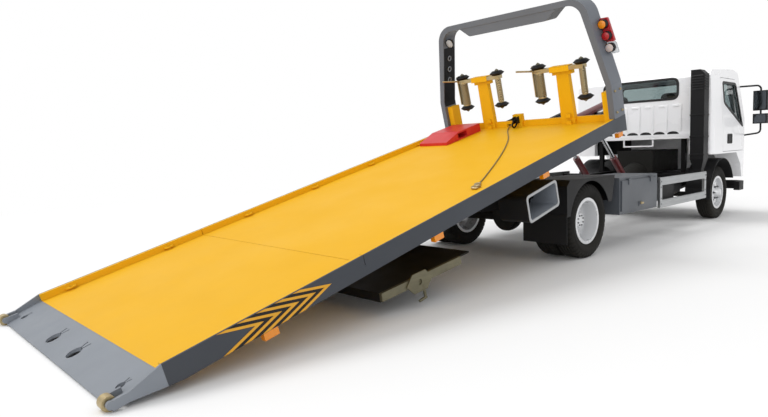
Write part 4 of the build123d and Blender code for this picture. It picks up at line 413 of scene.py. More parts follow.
# %% Finishes of the solids
finish_of = {
    chassis_black: ["chassis_frame", "tilt_frame", "rear_apron", "bed_underframe", "winch"],
    axle_iron: ["axles", "leaf_springs", "drive_line", "knuckle_left", "knuckle_right"],
    drawn_aluminium: ["fuel_tank", "side_guards"],
    arch_grey: ["arch"],
    box_grey: ["toolbox", "toolbox_lid"],
    # The rails take the grey enamel painted darker: painted shade
    rail_grey_painted_shade: ["bed_rails"],
    # The tail plate takes the grey enamel painted lighter: painted light
    tail_grey_painted_light: ["tail_plate"],
    plastic_black: ["battery_box", "mudguards", "air_intake", "front_bumper", "grille", "mirrors",
                    "dashboard", "dolly_casters", "side_trays"],
    cab_white: ["cab_shell", "door_right", "door_left"],
    window_glass: ["cab_glass", "door_glass_right", "door_glass_left"],
    clear_lens: ["headlamps"],
    wheel_silver: ["front_rim_left", "front_rim_right", "rear_rims_left", "rear_rims_right"],
    hydraulic_maroon: ["slide_barrel", "tilt_barrels"],
    hard_chrome: ["tilt_rods", "slide_rod"],
    deck_yellow: ["bed_deck"],
    amber_lens: ["bed_lamps"],
    zinc_plate: ["dolly_frames", "tail_roller_left", "tail_roller_right", "rope_hook"],
    aged_zinc: ["apron_bars"],
    moulded_red: ["ramp_block"],
}
for finish, names in finish_of.items():
    for name in names:
        slots = nodes[name].material_slots
        for at in range(len(slots)):
            slots[at].link = "OBJECT"
            slots[at].material = finish
print("solids with a finish:", sum(len(names) for names in finish_of.values()), "of", len(nodes))

# %% [markdown]
# New pieces are built as meshes from a few plain moves: a block, a round bar, an outline pushed
# through, and a profile turned on a lathe. The last function puts a mesh in its place, gives it a
# finish and soft edges, and says which body carries it.

# %% Mesh helpers


def facing(at, direction):
    """The place of a shape whose own Z axis points a given way."""
    return Matrix.Translation(at) @ Vector(direction).to_track_quat("Z", "Y").to_matrix().to_4x4()


def add_block(bm, xs, ys, zs):
    """A box between two stations on each axis."""
    size = Matrix.Diagonal((xs[1] - xs[0], ys[1] - ys[0], zs[1] - zs[0], 1))
    middle = Matrix.Translation(((xs[0] + xs[1]) / 2, (ys[0] + ys[1]) / 2, (zs[0] + zs[1]) / 2))
    bmesh.ops.create_cube(bm, size=1.0, matrix=middle @ size)


def add_prism(bm, outline, push):
    """A flat outline of 3-D points pushed along a vector."""
    near = [bm.verts.new(point) for point in outline]
    far = [bm.verts.new(Vector(point) + Vector(push)) for point in outline]
    bm.faces.new(near)
    bm.faces.new(far[::-1])
    for at in range(len(outline)):
        after = (at + 1) % len(outline)
        bm.faces.new((near[at], far[at], far[after], near[after]))


def add_ring(bm, outer, inner, push):
    """A frame between two loops of the same count, pushed along a vector."""
    loops = [[bm.verts.new(Vector(point) + Vector(shift)) for point in loop]
             for loop, shift in ((outer, (0, 0, 0)), (inner, (0, 0, 0)), (inner, push), (outer, push))]
    for at in range(len(outer)):
        after = (at + 1) % len(outer)
        for one, other in ((0, 1), (1, 2), (2, 3), (3, 0)):
            bm.faces.new((loops[one][at], loops[other][at], loops[other][after], loops[one][after]))


def add_lathe(bm, profile, place, sides=28):
    """A profile of radius and height turned about the Z axis of a place; zero radii close it."""
    rings = []
    for radius, height in profile:
        if radius == 0:
            rings.append([bm.verts.new(place @ Vector((0, 0, height)))] * sides)
        else:
            rings.append([bm.verts.new(place @ Vector((radius * math.cos(math.tau * k / sides),
                                                       radius * math.sin(math.tau * k / sides), height)))
                          for k in range(sides)])
    for low, high in zip(rings, rings[1:]):
        for k in range(sides):
            after = (k + 1) % sides
            loop = dict.fromkeys((low[k], low[after], high[after], high[k]))
            if len(loop) > 2:
                bm.faces.new(tuple(loop))


def add_bar(bm, start, end, radius, sides=16):
    """A round bar between two points, its rims slightly rounded."""
    run = Vector(end) - Vector(start)
    lip = min(radius * 0.25, run.length * 0.2)
    add_lathe(bm, [(0, 0), (radius - lip, 0), (radius, lip), (radius, run.length - lip),
                   (radius - lip, run.length), (0, run.length)], facing(start, run), sides)


def settle(name, bm, finish, body, place=level, edge_mm=0.0):
    """Turns a mesh being built into a piece that rides on a body."""
    bmesh.ops.transform(bm, matrix=place, verts=bm.verts)
    bmesh.ops.recalc_face_normals(bm, faces=bm.faces)
    mesh = bpy.data.meshes.new(name)
    bm.to_mesh(mesh)
    bm.free()
    return settle_mesh(name, mesh, finish, body, edge_mm)


def settle_mesh(name, mesh, finish, body, edge_mm=0.0):
    """Gives a finished mesh its finish, its soft edges and the body that carries it."""
    mesh.materials.clear()
    mesh.materials.append(finish)
    mesh.polygons.foreach_set("use_smooth", [True] * len(mesh.polygons))
    mesh.set_sharp_from_angle(angle=math.radians(38))
    piece = bpy.data.objects.new(name, mesh)
    bpy.context.scene.collection.objects.link(piece)
    if edge_mm:
        soft = piece.modifiers.new("soft_edges", "BEVEL")
        soft.width = edge_mm / 1000
        soft.segments = 2
        soft.limit_method = "ANGLE"
        soft.angle_limit = math.radians(38)
    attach(piece, body)
    return piece


# %% [markdown]
# Nuts, bolts, ribs, louvres and stripes repeat. A Geometry Nodes tree puts one small shape on each
# point of a carrier mesh and turns it the way that point faces; the result is made a plain mesh.

# %% Copies on points
copies_tree = bpy.data.node_groups.new("copies_on_points", "GeometryNodeTree")
face = copies_tree.interface
face.new_socket("Points", in_out="INPUT", socket_type="NodeSocketGeometry")
shape_socket = face.new_socket("Shape", in_out="INPUT", socket_type="NodeSocketObject")
size_socket = face.new_socket("Size", in_out="INPUT", socket_type="NodeSocketFloat")
finish_socket = face.new_socket("Finish", in_out="INPUT", socket_type="NodeSocketMaterial")
face.new_socket("Copies", in_out="OUTPUT", socket_type="NodeSocketGeometry")
given = add(copies_tree, "NodeGroupInput")
shape = add(copies_tree, "GeometryNodeObjectInfo", {"Object": given.outputs["Shape"]}, transform_space="ORIGINAL")
faced = add(copies_tree, "GeometryNodeInputNamedAttribute", {"Name": "facing"}, data_type="FLOAT_VECTOR")
turned = add(copies_tree, "FunctionNodeAlignRotationToVector", {"Vector": faced.outputs["Attribute"]}, axis="Z")
put = add(copies_tree, "GeometryNodeInstanceOnPoints", {
    "Points": given.outputs["Points"], "Instance": shape.outputs["Geometry"],
    "Rotation": turned.outputs["Rotation"], "Scale": given.outputs["Size"]})
real = add(copies_tree, "GeometryNodeRealizeInstances", {"Geometry": put.outputs["Instances"]})
dressed = add(copies_tree, "GeometryNodeSetMaterial",
              {"Geometry": real.outputs["Geometry"], "Material": given.outputs["Finish"]})
add(copies_tree, "NodeGroupOutput", {"Copies": dressed.outputs["Geometry"]})


def copies(name, bm, spots, finish, body, place=level, edge_mm=0.0):
    """One small shape repeated on spots, each a point and the way it faces, as one piece."""
    bmesh.ops.recalc_face_normals(bm, faces=bm.faces)
    small = bpy.data.meshes.new(name + "_shape")
    bm.to_mesh(small)
    bm.free()
    shape_object = bpy.data.objects.new(name + "_shape", small)
    carrier_mesh = bpy.data.meshes.new(name + "_points")
    carrier_mesh.from_pydata([tuple(point) for point, way in spots], [], [])
    ways = carrier_mesh.attributes.new("facing", "FLOAT_VECTOR", "POINT")
    ways.data.foreach_set("vector", [value for point, way in spots for value in way])
    carrier = bpy.data.objects.new(name + "_points", carrier_mesh)
    for helper in (shape_object, carrier):
        bpy.context.scene.collection.objects.link(helper)
    modifier = carrier.modifiers.new("copies", "NODES")
    modifier.node_group = copies_tree
    modifier[shape_socket.identifier] = shape_object
    modifier[size_socket.identifier] = 1.0
    modifier[finish_socket.identifier] = finish
    graph = bpy.context.evaluated_depsgraph_get()
    mesh = bpy.data.meshes.new_from_object(carrier.evaluated_get(graph))
    mesh.transform(place)
    carrier.modifiers.remove(modifier)
    for helper in (shape_object, carrier):
        bpy.data.objects.remove(helper)
    mesh.name = name
    return settle_mesh(name, mesh, finish, body, edge_mm)


# %% [markdown]
# The winch rope runs from the drum across the deck to its hook. Its line is one smooth NURBS
# spline on the route's points, and six strands of wire wind round that line.

# %% Winch rope
ROPE_RADIUS = 0.006
STRANDS = 6
STRAND_RADIUS = 0.0023
LAY_LENGTH = 0.085
DRUM_TOP = 0.0273
FLAT = 0.0063
# columns: back from the bed's front edge, across, height over the deck
rope_route = [
    (-0.112, 0.300, DRUM_TOP), (0.0, 0.276, 0.022), (0.110, 0.243, 0.012), (0.230, 0.187, 0.0068),
    (0.365, 0.098, FLAT), (0.510, -0.008, FLAT), (0.665, -0.118, FLAT), (0.825, -0.214, FLAT),
    (0.990, -0.305, FLAT), (1.155, -0.392, FLAT), (1.320, -0.474, FLAT), (1.485, -0.553, FLAT),
    (1.650, -0.628, FLAT), (1.815, -0.702, FLAT), (1.975, -0.770, FLAT), (2.105, -0.827, FLAT),
    (2.230, -0.872, FLAT),
]
route = bpy.data.curves.new("rope_route", "CURVE")
route.dimensions = "3D"
spline = route.splines.new("NURBS")
spline.points.add(len(rope_route) - 1)
for point, (back, side_way, height) in zip(spline.points, rope_route):
    point.co = (*(bed_pose @ Vector((-back, side_way, height))), 1.0)
spline.order_u = 3
spline.use_endpoint_u = True
spline.resolution_u = 40
route_object = bpy.data.objects.new("rope_route", route)
bpy.context.scene.collection.objects.link(route_object)
line_mesh = bpy.data.meshes.new_from_object(route_object.evaluated_get(bpy.context.evaluated_depsgraph_get()))
line = [vertex.co.copy() for vertex in line_mesh.vertices]
bpy.data.objects.remove(route_object)

deck_up = (bed_pose.to_3x3() @ Vector((0, 0, 1))).normalized()
bm = bmesh.new()
for strand in range(STRANDS + 1):
    rings = []
    travelled = 0.0
    for at, point in enumerate(line):
        if at:
            travelled += (point - line[at - 1]).length
        along = (line[min(at + 1, len(line) - 1)] - line[max(at - 1, 0)]).normalized()
        side_way = along.cross(deck_up).normalized()
        rise = side_way.cross(along)
        wind = math.tau * (strand / STRANDS + travelled / LAY_LENGTH)
        out = 0.0 if strand == STRANDS else ROPE_RADIUS - STRAND_RADIUS
        core = point + out * (math.cos(wind) * side_way + math.sin(wind) * rise)
        thick = STRAND_RADIUS if strand < STRANDS else ROPE_RADIUS - 1.6 * STRAND_RADIUS
        rings.append([bm.verts.new(core + thick * (math.cos(math.tau * k / 6) * side_way
                                                   + math.sin(math.tau * k / 6) * rise)) for k in range(6)])
    for low, high in zip(rings, rings[1:]):
        for k in range(6):
            bm.faces.new((low[k], low[(k + 1) % 6], high[(k + 1) % 6], high[k]))
    bm.faces.new(rings[0])
    bm.faces.new(rings[-1][::-1])
rope = settle("winch_rope_strands", bm, rope_wire, "bed")
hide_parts("winch_rope")

# %% [markdown]
# The rope's turns on the drum lie side by side, so a lathe profile of small arches gives them.

# %% Turns of rope on the drum
DRUM_RADIUS = 0.048
DRUM_AT = Vector((0.112, 0.0, 0.970 - DECK_HEIGHT))
turns_profile = [(DRUM_RADIUS - 0.004, -0.285)]
for turn_at in range(46):
    start = -0.285 + 0.0124 * turn_at
    for share, lift in ((0.08, 0.2), (0.25, 0.8), (0.5, 1.0), (0.75, 0.8), (0.92, 0.2)):
        turns_profile.append((DRUM_RADIUS + 0.011 * lift, start + 0.0124 * share))
turns_profile.append((DRUM_RADIUS - 0.004, turns_profile[-1][1] + 0.001))
bm = bmesh.new()
add_lathe(bm, turns_profile + [turns_profile[0]], facing(DRUM_AT, (0, 1, 0)), 40)
settle("drum_turns", bm, rope_wire, "bed", bed_pose)
print("rope turns on the drum: 46")

# %% [markdown]
# A tyre is a revolved ring with grooves round its tread. Its shoulders are cut into blocks, so the
# profile is lowered there at every other stretch round the ring.

# %% Tyres
TYRE_RADIUS, TYRE_HALF = 0.385, 0.1075
SHOULDER_BLOCKS = 44
# columns: radius, distance from the middle plane, how far a cut between blocks lowers it
half_profile = [
    (0.222, 0.076, 0), (0.233, 0.0775, 0), (0.240, 0.082, 0), (0.246, 0.0875, 0), (0.252, 0.0865, 0),
    (0.266, 0.0965, 0), (0.290, 0.1050, 0), (0.308, 0.1070, 0), (0.318, 0.1072, 0), (0.322, 0.1050, 0),
    (0.332, 0.1040, 0), (0.346, 0.1015, 0.002), (0.358, 0.0975, 0.008), (0.368, 0.0925, 0.010),
    (0.3770, 0.0862, 0.010), (0.3825, 0.0790, 0.009), (0.3838, 0.0600, 0.008), (0.3840, 0.0560, 0.0),
    (0.3842, 0.0530, 0), (0.3750, 0.0515, 0), (0.3750, 0.0445, 0), (0.3845, 0.0430, 0), (0.3848, 0.0220, 0),
    (0.3755, 0.0205, 0), (0.3755, 0.0135, 0), (0.3848, 0.0120, 0),
]
tyre_profile = [(r, -s, cut) for r, s, cut in half_profile] + [(r, s, cut) for r, s, cut in half_profile[::-1]]
block_shares = [(0.0, False), (0.66, False), (0.72, True), (0.94, True)]


def add_tyre(bm, middle):
    """One tyre about an axle along Y."""
    rings = []
    for block in range(SHOULDER_BLOCKS):
        for share, is_cut in block_shares:
            angle = math.tau * (block + share) / SHOULDER_BLOCKS
            ring = []
            for radius, side_way, cut in tyre_profile:
                reach = radius - (cut if is_cut else 0.0)
                ring.append(bm.verts.new(middle + Vector((reach * math.cos(angle), side_way,
                                                          reach * math.sin(angle)))))
            rings.append(ring)
    for low, high in zip(rings, rings[1:] + rings[:1]):
        for at in range(len(tyre_profile)):
            after = (at + 1) % len(tyre_profile)
            bm.faces.new((low[at], low[after], high[after], high[at]))


DUAL_SPACING = 0.245
for side in ("right", "left"):
    for node, shifts, body in ((f"front_tyre_{side}", (0.0,), f"front_wheel_{side}"),
                               (f"rear_tyres_{side}", (-DUAL_SPACING / 2, DUAL_SPACING / 2), f"rear_wheels_{side}")):
        bm = bmesh.new()
        for shift in shifts:
            add_tyre(bm, middle_of(node) + Vector((0, shift, 0)))
        piece = settle(node + "_treaded", bm, tyre_black, body)
        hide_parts(node)
print("tyres with", SHOULDER_BLOCKS, "shoulder blocks on each edge")

# %% [markdown]
# Six nuts hold each wheel. The hub of a front wheel has a cap with a rim; a rear hub shows the
# flange of the axle shaft with its own ring of bolts.

# %% Wheel nuts and hubs


def nut_shape(radius, height, stud):
    """A chamfered hexagon nut with the end of its stud, standing on Z = 0."""
    bm = bmesh.new()
    add_lathe(bm, [(0, 0), (radius, 0), (radius, height * 0.8), (radius * 0.82, height), (stud, height),
                   (stud, height * 1.5), (stud * 0.7, height * 1.6), (0, height * 1.6)], level, 6)
    return bm


def circle_spots(middle, radius, count, way, start=0.5):
    """Spots evenly round an axle along Y."""
    spots = []
    for index in range(count):
        angle = math.tau * (index + start) / count
        spots.append((middle + Vector((radius * math.cos(angle), 0, radius * math.sin(angle))), way))
    return spots


for side, out in (("right", -1), ("left", 1)):
    front_hub = middle_of(f"front_tyre_{side}")
    rear_hub = middle_of(f"rear_tyres_{side}")
    way = (0, out, 0)
    copies(f"front_nuts_{side}", nut_shape(0.0165, 0.018, 0.008),
           circle_spots(front_hub + Vector((0, out * 0.058, 0)), 0.093, 6, way, 0.0),
           forged_steel, f"front_wheel_{side}")
    copies(f"rear_nuts_{side}", nut_shape(0.0165, 0.018, 0.008),
           circle_spots(rear_hub + Vector((0, out * 0.0215, 0)), 0.101, 6, way, 0.0),
           forged_steel, f"rear_wheels_{side}")
    copies(f"hub_bolts_{side}", nut_shape(0.0085, 0.008, 0.004),
           circle_spots(rear_hub + Vector((0, out * 0.1295, 0)), 0.052, 8, way),
           forged_steel, f"rear_wheels_{side}")
    bm = bmesh.new()
    add_lathe(bm, [(0, 0.010), (0.030, 0.009), (0.034, 0.004), (0.046, 0.003), (0.049, -0.002), (0.049, -0.006),
                   (0, -0.006)], facing(front_hub + Vector((0, out * 0.1185, 0)), way), 36)
    settle(f"front_hub_cap_{side}", bm, wheel_silver, f"front_wheel_{side}")
print("nuts on four wheels")

# %% [markdown]
# Cab windows sit in black rubber seals. Each seal is a frame between two rounded outlines that lie
# on the cab's skin; the sides lean in above the belt line, so those outlines follow the lean.

# %% Window seals
BELT = 1.280
LEAN = 0.065 / 0.980
SEAL_PROUD = 0.006


def inset(outline, depth):
    """A convex outline of 2-D points, given anticlockwise, moved in by a depth."""
    lines = []
    for (ax, ay), (bx, by) in zip(outline, outline[1:] + outline[:1]):
        run = math.hypot(bx - ax, by - ay)
        nx, ny = -(by - ay) / run, (bx - ax) / run
        lines.append((nx, ny, nx * ax + ny * ay + depth))
    points = []
    for (a, b, c), (d, e, f) in zip(lines[-1:] + lines[:-1], lines):
        det = a * e - b * d
        points.append(((c * e - b * f) / det, (a * f - c * d) / det))
    return points


def rounded(outline, radius, steps=6):
    """An outline with its corners rounded by curves that start a radius from each corner."""
    points = []
    for before, corner, after in zip(outline[-1:] + outline[:-1], outline, outline[1:] + outline[:1]):
        before, corner, after = Vector(before), Vector(corner), Vector(after)
        start = corner + (before - corner).normalized() * radius
        end = corner + (after - corner).normalized() * radius
        for step in range(steps + 1):
            t = step / steps
            points.append(tuple((1 - t) ** 2 * start + 2 * t * (1 - t) * corner + t ** 2 * end))
    return points


def add_seal(bm, outline, radius, width, on_skin, push):
    """A rubber frame about a window outline, on a skin given by a function of its two coordinates."""
    outer = rounded(inset(outline, -width / 2), radius + width / 2)
    inner = rounded(inset(outline, width / 2), max(radius - width / 2, 0.01))
    add_ring(bm, [on_skin(*point) for point in outer], [on_skin(*point) for point in inner], push)


bm = bmesh.new()
rear_window = [(-0.56, 1.77), (0.56, 1.77), (0.56, 2.06), (-0.56, 2.06)]
add_seal(bm, rear_window, 0.09, 0.034, lambda y, z: (cab_rear_x + 0.012, y, z), (-0.012 - SEAL_PROUD, 0, 0))
screen_low, screen_high = Vector((cab_front_x - 0.05, 0, 1.280)), Vector((cab_front_x - 0.330, 0, 2.150))
screen_lean = (screen_high.x - screen_low.x) / (screen_high.z - screen_low.z)
screen = [(-0.890, 1.320), (0.890, 1.320), (0.830, 2.080), (-0.830, 2.080)]
add_seal(bm, screen, 0.07, 0.034,
         lambda y, z: (screen_low.x + (z - screen_low.z) * screen_lean - 0.012, y, z), (0.012 + SEAL_PROUD, 0, 0))
settle("cab_window_seals", bm, seal_black, "cab", edge_mm=2)

door_rear_x, door_front_x = cab_front_x - 1.110, cab_front_x - 0.140
side_window = [(door_rear_x + 0.110, 1.690), (door_front_x - 0.100, 1.360), (door_front_x - 0.325, 1.980),
               (door_rear_x + 0.090, 1.980)]
for side, out in (("right", -1), ("left", 1)):
    bm = bmesh.new()
    add_seal(bm, side_window, 0.045, 0.040,
             lambda x, z: (x, out * (CAB_HALF_WIDTH - LEAN * (z - BELT) - 0.012), z), (0, out * (0.012 + SEAL_PROUD), 0))
    settle(f"door_window_seal_{side}", bm, seal_black, f"door_{side}", edge_mm=2)
print("seals on four windows")

# %% [markdown]
# The cab's back wall is pressed with ribs that stiffen it, over a ledge with a small bar under it.

# %% Back wall of the cab
RIB_W, RIB_PROUD, RIB_STEP = 0.034, 0.012, 0.200
bm = bmesh.new()
add_block(bm, (-RIB_PROUD, 0.006), (-RIB_W / 2, RIB_W / 2), (1.300, 1.690))
add_block(bm, (-RIB_PROUD, 0.006), (RIB_W / 2 + 0.0004, 0.110), (1.654, 1.690))
rib_spots = [((cab_rear_x, RIB_STEP * at, 0), (0, 0, 1)) for at in range(-3, 4)]
copies("cab_back_ribs", bm, rib_spots, cab_white, "cab", edge_mm=7)
# Dark scallops under the ribs: painted shadow of the ribs on the white wall below them
bm = bmesh.new()
for at in range(-3, 4):
    middle = RIB_STEP * at + RIB_STEP / 2
    scallop = [(middle + 0.082 * math.cos(math.pi * k / 12), 1.262 + 0.040 * math.sin(math.pi * k / 12))
               for k in range(13)]
    add_prism(bm, [(cab_rear_x + 0.004, y, z) for y, z in scallop], (-0.012, 0, 0))
settle("cab_back_scallops", bm, seal_black, "cab")
# A black sheet lines the tunnel over the engine: it stands for the black engine parts there, and is painted shade
# for the dark under the cab
TUNNEL_HALF, TUNNEL_TOP, SILL, SHEET_THICKNESS, POST_CLEAR = 0.720, 1.215, 0.958, 0.002, 0.105
bm = bmesh.new()
tunnel_sheet_outline = [(-TUNNEL_HALF, SILL), (-TUNNEL_HALF, TUNNEL_TOP), (TUNNEL_HALF, TUNNEL_TOP), (TUNNEL_HALF, SILL),
               (TUNNEL_HALF - SHEET_THICKNESS, SILL), (TUNNEL_HALF - SHEET_THICKNESS, TUNNEL_TOP - SHEET_THICKNESS),
               (-TUNNEL_HALF + SHEET_THICKNESS, TUNNEL_TOP - SHEET_THICKNESS), (-TUNNEL_HALF + SHEET_THICKNESS, SILL)]
tunnel_sheet_start = cab_rear_x + POST_CLEAR
add_prism(bm, [(tunnel_sheet_start, y, z) for y, z in tunnel_sheet_outline], (cab_front_x - 0.195 - tunnel_sheet_start, 0, 0))
add_block(bm, (cab_rear_x + 0.001, tunnel_sheet_start - 0.0005), (-0.590, 0.590), (TUNNEL_TOP - SHEET_THICKNESS, TUNNEL_TOP))
settle("tunnel_mat", bm, chassis_black, "cab")

bm = bmesh.new()
add_block(bm, (cab_rear_x - 0.050, cab_rear_x + 0.004), (-0.800, 0.960), (1.222, 1.256))
add_block(bm, (cab_rear_x - 0.050, cab_rear_x - 0.042), (-0.800, 0.960), (1.190, 1.224))
settle("cab_back_ledge", bm, cab_white, "cab", edge_mm=4)
bm = bmesh.new()
for y in (-0.22, 0.22):
    add_bar(bm, (cab_rear_x - 0.030, y, 1.215), (cab_rear_x - 0.030, y, 1.085), 0.013)
add_bar(bm, (cab_rear_x - 0.030, -0.231, 1.090), (cab_rear_x - 0.030, 0.231, 1.090), 0.013)
settle("cab_back_bar", bm, cab_white, "cab")
print("back wall:", len(rib_spots), "ribs, ledge and bar")

# %% [markdown]
# Doors have a square black handle cup behind the window, with a flap to pull; the mirrors have
# silvered glass, the windscreen two wipers, the headlamps black bezels.

# %% Door handles, mirrors, wipers and front trim
handle_x, handle_z = cab_front_x - 0.820, 1.165
for side, out in (("right", -1), ("left", 1)):
    skin = out * CAB_HALF_WIDTH
    bm = bmesh.new()
    outer = [(handle_x - 0.095, handle_z - 0.062), (handle_x + 0.095, handle_z - 0.062),
             (handle_x + 0.095, handle_z + 0.062), (handle_x - 0.095, handle_z + 0.062)]
    add_seal(bm, outer, 0.015, 0.020, lambda x, z: (x, skin - out * 0.006, z), (0, out * 0.012, 0))
    add_block(bm, (handle_x - 0.088, handle_x + 0.088), tuple(sorted((skin - out * 0.005, skin + out * 0.0008))),
              (handle_z - 0.055, handle_z + 0.055))
    add_block(bm, (handle_x - 0.070, handle_x + 0.070), tuple(sorted((skin + out * 0.001, skin + out * 0.008))),
              (handle_z - 0.030, handle_z + 0.042))
    settle(f"door_handle_{side}", bm, plastic_black, f"door_{side}", edge_mm=2)

mirror_x, mirror_y = cab_front_x - 0.095, 1.235
bm = bmesh.new()
for out in (-1, 1):
    for low, high in ((1.595, 1.865), (1.392, 1.518)):
        outline = rounded([(out * mirror_y - 0.080, low), (out * mirror_y + 0.080, low),
                           (out * mirror_y + 0.080, high), (out * mirror_y - 0.080, high)], 0.022)
        add_prism(bm, [(mirror_x + 0.001, y, z) for y, z in outline], (-0.004, 0, 0))
settle("mirror_glasses", bm, mirror_silver, "cab")

bm = bmesh.new()
screen_out = Vector((1, 0, -screen_lean)).normalized()


def on_screen(y, z, lift):
    """A point over the windscreen, lifted off its skin."""
    return Vector((screen_low.x + (z - screen_low.z) * screen_lean, y, z)) + screen_out * lift


for y in (-0.28, 0.42):
    add_bar(bm, on_screen(y, 1.285, 0.004), on_screen(y + 0.12, 1.42, 0.020), 0.007)
    add_bar(bm, on_screen(y + 0.12, 1.42, 0.020), on_screen(y - 0.30, 1.56, 0.018), 0.006)
    add_bar(bm, on_screen(y + 0.18, 1.41, 0.010), on_screen(y - 0.42, 1.60, 0.010), 0.005)
    add_lathe(bm, [(0, 0.012), (0.014, 0.010), (0.018, 0), (0, 0)], facing(on_screen(y, 1.285, 0), screen_out), 18)
settle("wipers", bm, plastic_black, "cab")

bm = bmesh.new()
for out in (-1, 1):
    lamp = [(out * 0.695 - 0.140, 0.615), (out * 0.695 + 0.140, 0.615), (out * 0.695 + 0.140, 0.785),
            (out * 0.695 - 0.140, 0.785)]
    add_seal(bm, lamp, 0.02, 0.024, lambda y, z: (cab_front_x + 0.0006, y, z), (0.0185, 0, 0))
settle("headlamp_bezels", bm, plastic_black, "cab", edge_mm=2)
bm = bmesh.new()
for out in (-1, 1):
    for shift in (-0.062, 0.062):
        add_lathe(bm, [(0.052, 0.0), (0.050, 0.0012), (0.030, 0.0030), (0, 0.0036)],
                  facing((cab_front_x + 0.0155, out * 0.695 + shift, 0.700), (1, 0, 0)), 36)
settle("headlamp_domes", bm, clear_lens, "cab")
bm = bmesh.new()
for out in (-1, 1):
    add_prism(bm, [(cab_front_x + 0.0005, y, z) for y, z in rounded(
        [(out * 0.870 - 0.028, 0.640), (out * 0.870 + 0.028, 0.640), (out * 0.870 + 0.028, 0.760),
         (out * 0.870 - 0.028, 0.760)], 0.012)], (0.014, 0, 0))
settle("front_indicators", bm, amber_lens, "cab", edge_mm=2)
print("cab trim done")

# %% [markdown]
# The air intake is a ribbed column with slats near its top where the air goes in.

# %% Intake slats
intake_low, intake_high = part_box("air_intake")
column_y = (-1.000, -0.820)
SLATS, SLAT_LOW, SLAT_STEP = 6, 1.865, 0.036
bm = bmesh.new()
add_prism(bm, [(-0.0100, -0.075, -0.006), (0.001, -0.075, 0.012), (0.001, -0.075, -0.006)], (0, 0.150, 0))
slat_spots = [((intake_low.x, sum(column_y) / 2, SLAT_LOW + SLAT_STEP * row), (0, 0, 1)) for row in range(SLATS)]
copies("intake_slats_back", bm, slat_spots, plastic_black, "chassis")
bm = bmesh.new()
add_prism(bm, [(-0.070, -0.0100, -0.006), (-0.070, 0.001, 0.012), (-0.070, 0.001, -0.006)], (0.140, 0, 0))
slat_spots = [(((intake_low.x + intake_high.x) / 2, column_y[0], SLAT_LOW + SLAT_STEP * row), (0, 0, 1))
              for row in range(SLATS)]
copies("intake_slats_side", bm, slat_spots, plastic_black, "chassis")
bm = bmesh.new()
for z in (1.20, 1.50, 0.95):
    add_block(bm, (intake_low.x - 0.006, intake_high.x + 0.006), (column_y[0] - 0.006, column_y[1] + 0.006),
              (z, z + 0.022))
settle("intake_bands", bm, plastic_black, "chassis", edge_mm=3)
print("intake:", 2 * SLATS, "slats and 3 bands")

# %% [markdown]
# On the arch: three round lamps on each post with black shells, bolts at the feet and knees, a
# work lamp and three ringed holes on the inside of the left post.

# %% Arch lamps, bolts and work lamp
ARCH_REAR, ARCH_FRONT = -0.235, -0.008
ARCH_BASE, ARCH_TOP, KNEE, ARCH_HEIGHT, ARCH_WALL = 1.145, 0.950, 0.400, 1.310, 0.062
ARCH_MIDDLE = (ARCH_REAR + ARCH_FRONT) / 2
LAMP_BACK, LAMP_FRONT = ARCH_FRONT - 0.105, ARCH_FRONT - 0.055


def post_at(height):
    """How far out the outside of an arch post is at a height over the deck."""
    return ARCH_BASE - max(0.0, height - KNEE) * (ARCH_BASE - ARCH_TOP) / (ARCH_HEIGHT - KNEE)


lamp_rows = ((1.000, amber_lens, "amber_lens", "amber"), (0.880, red_lens, "red_plastic", "red"),
             (0.760, clear_lens, "clear_lens", "clear"))
bm = bmesh.new()
for height, finish, slot, word in lamp_rows:
    for out in (-1, 1):
        at = (LAMP_FRONT + 0.001, out * (post_at(height) + 0.042), height)
        add_lathe(bm, [(0.041, 0.0), (0.046, 0.0), (0.047, 0.045), (0.044, 0.054), (0.041, 0.054), (0.041, 0.0)],
                  facing(at, (-1, 0, 0)), 36)
settle("arch_lamp_shells", bm, plastic_black, "bed", bed_pose)
for word, low, high, finish, slot in (("red", 0.815, 1.060, red_lens, "red_plastic"),
                                      ("clear", 0.695, 0.812, clear_lens, "clear_lens")):
    bm = bmesh.new()
    for out in (-1, 1):
        outline = [(post_at(low) + 0.004, low), (post_at(low) + 0.094, low), (post_at(high) + 0.094, high),
                   (post_at(high) + 0.004, high)]
        add_prism(bm, [(LAMP_FRONT + 0.002, out * y, z) for y, z in rounded(outline, 0.018)], (0.034, 0, 0))
    settle(f"arch_lamp_case_{word}", bm, finish, "bed", bed_pose, edge_mm=4)
for height, finish, slot, word in lamp_rows:
    bm = bmesh.new()
    for out in (-1, 1):
        at = (LAMP_BACK - 0.0004, out * (post_at(height) + 0.042), height)
        add_lathe(bm, [(0.0405, 0.0), (0.0400, 0.005), (0.030, 0.011), (0.014, 0.0145), (0, 0.0150)],
                  facing(at, (-1, 0, 0)), 36)
    settle(f"arch_lamp_lenses_{word}", bm, finish, "bed", bed_pose)

bolt_spots = []
for out in (-1, 1):
    for height in (0.110, 0.330):
        for along in (0.055, 0.172):
            bolt_spots.append(((ARCH_REAR + along, out * ARCH_BASE, height), (0, out, 0)))
copies("arch_bolts", nut_shape(0.013, 0.011, 0.006), bolt_spots, zinc_plate, "bed", bed_pose)

inner_lean = (ARCH_BASE - ARCH_TOP) / (ARCH_HEIGHT - ARCH_WALL - KNEE)
lean_way = Vector((0, -1, -inner_lean)).normalized()


def inside_at(height):
    """How far out the inside of an arch post is at a height over the deck."""
    return ARCH_BASE - ARCH_WALL - max(0.0, height - KNEE) * inner_lean


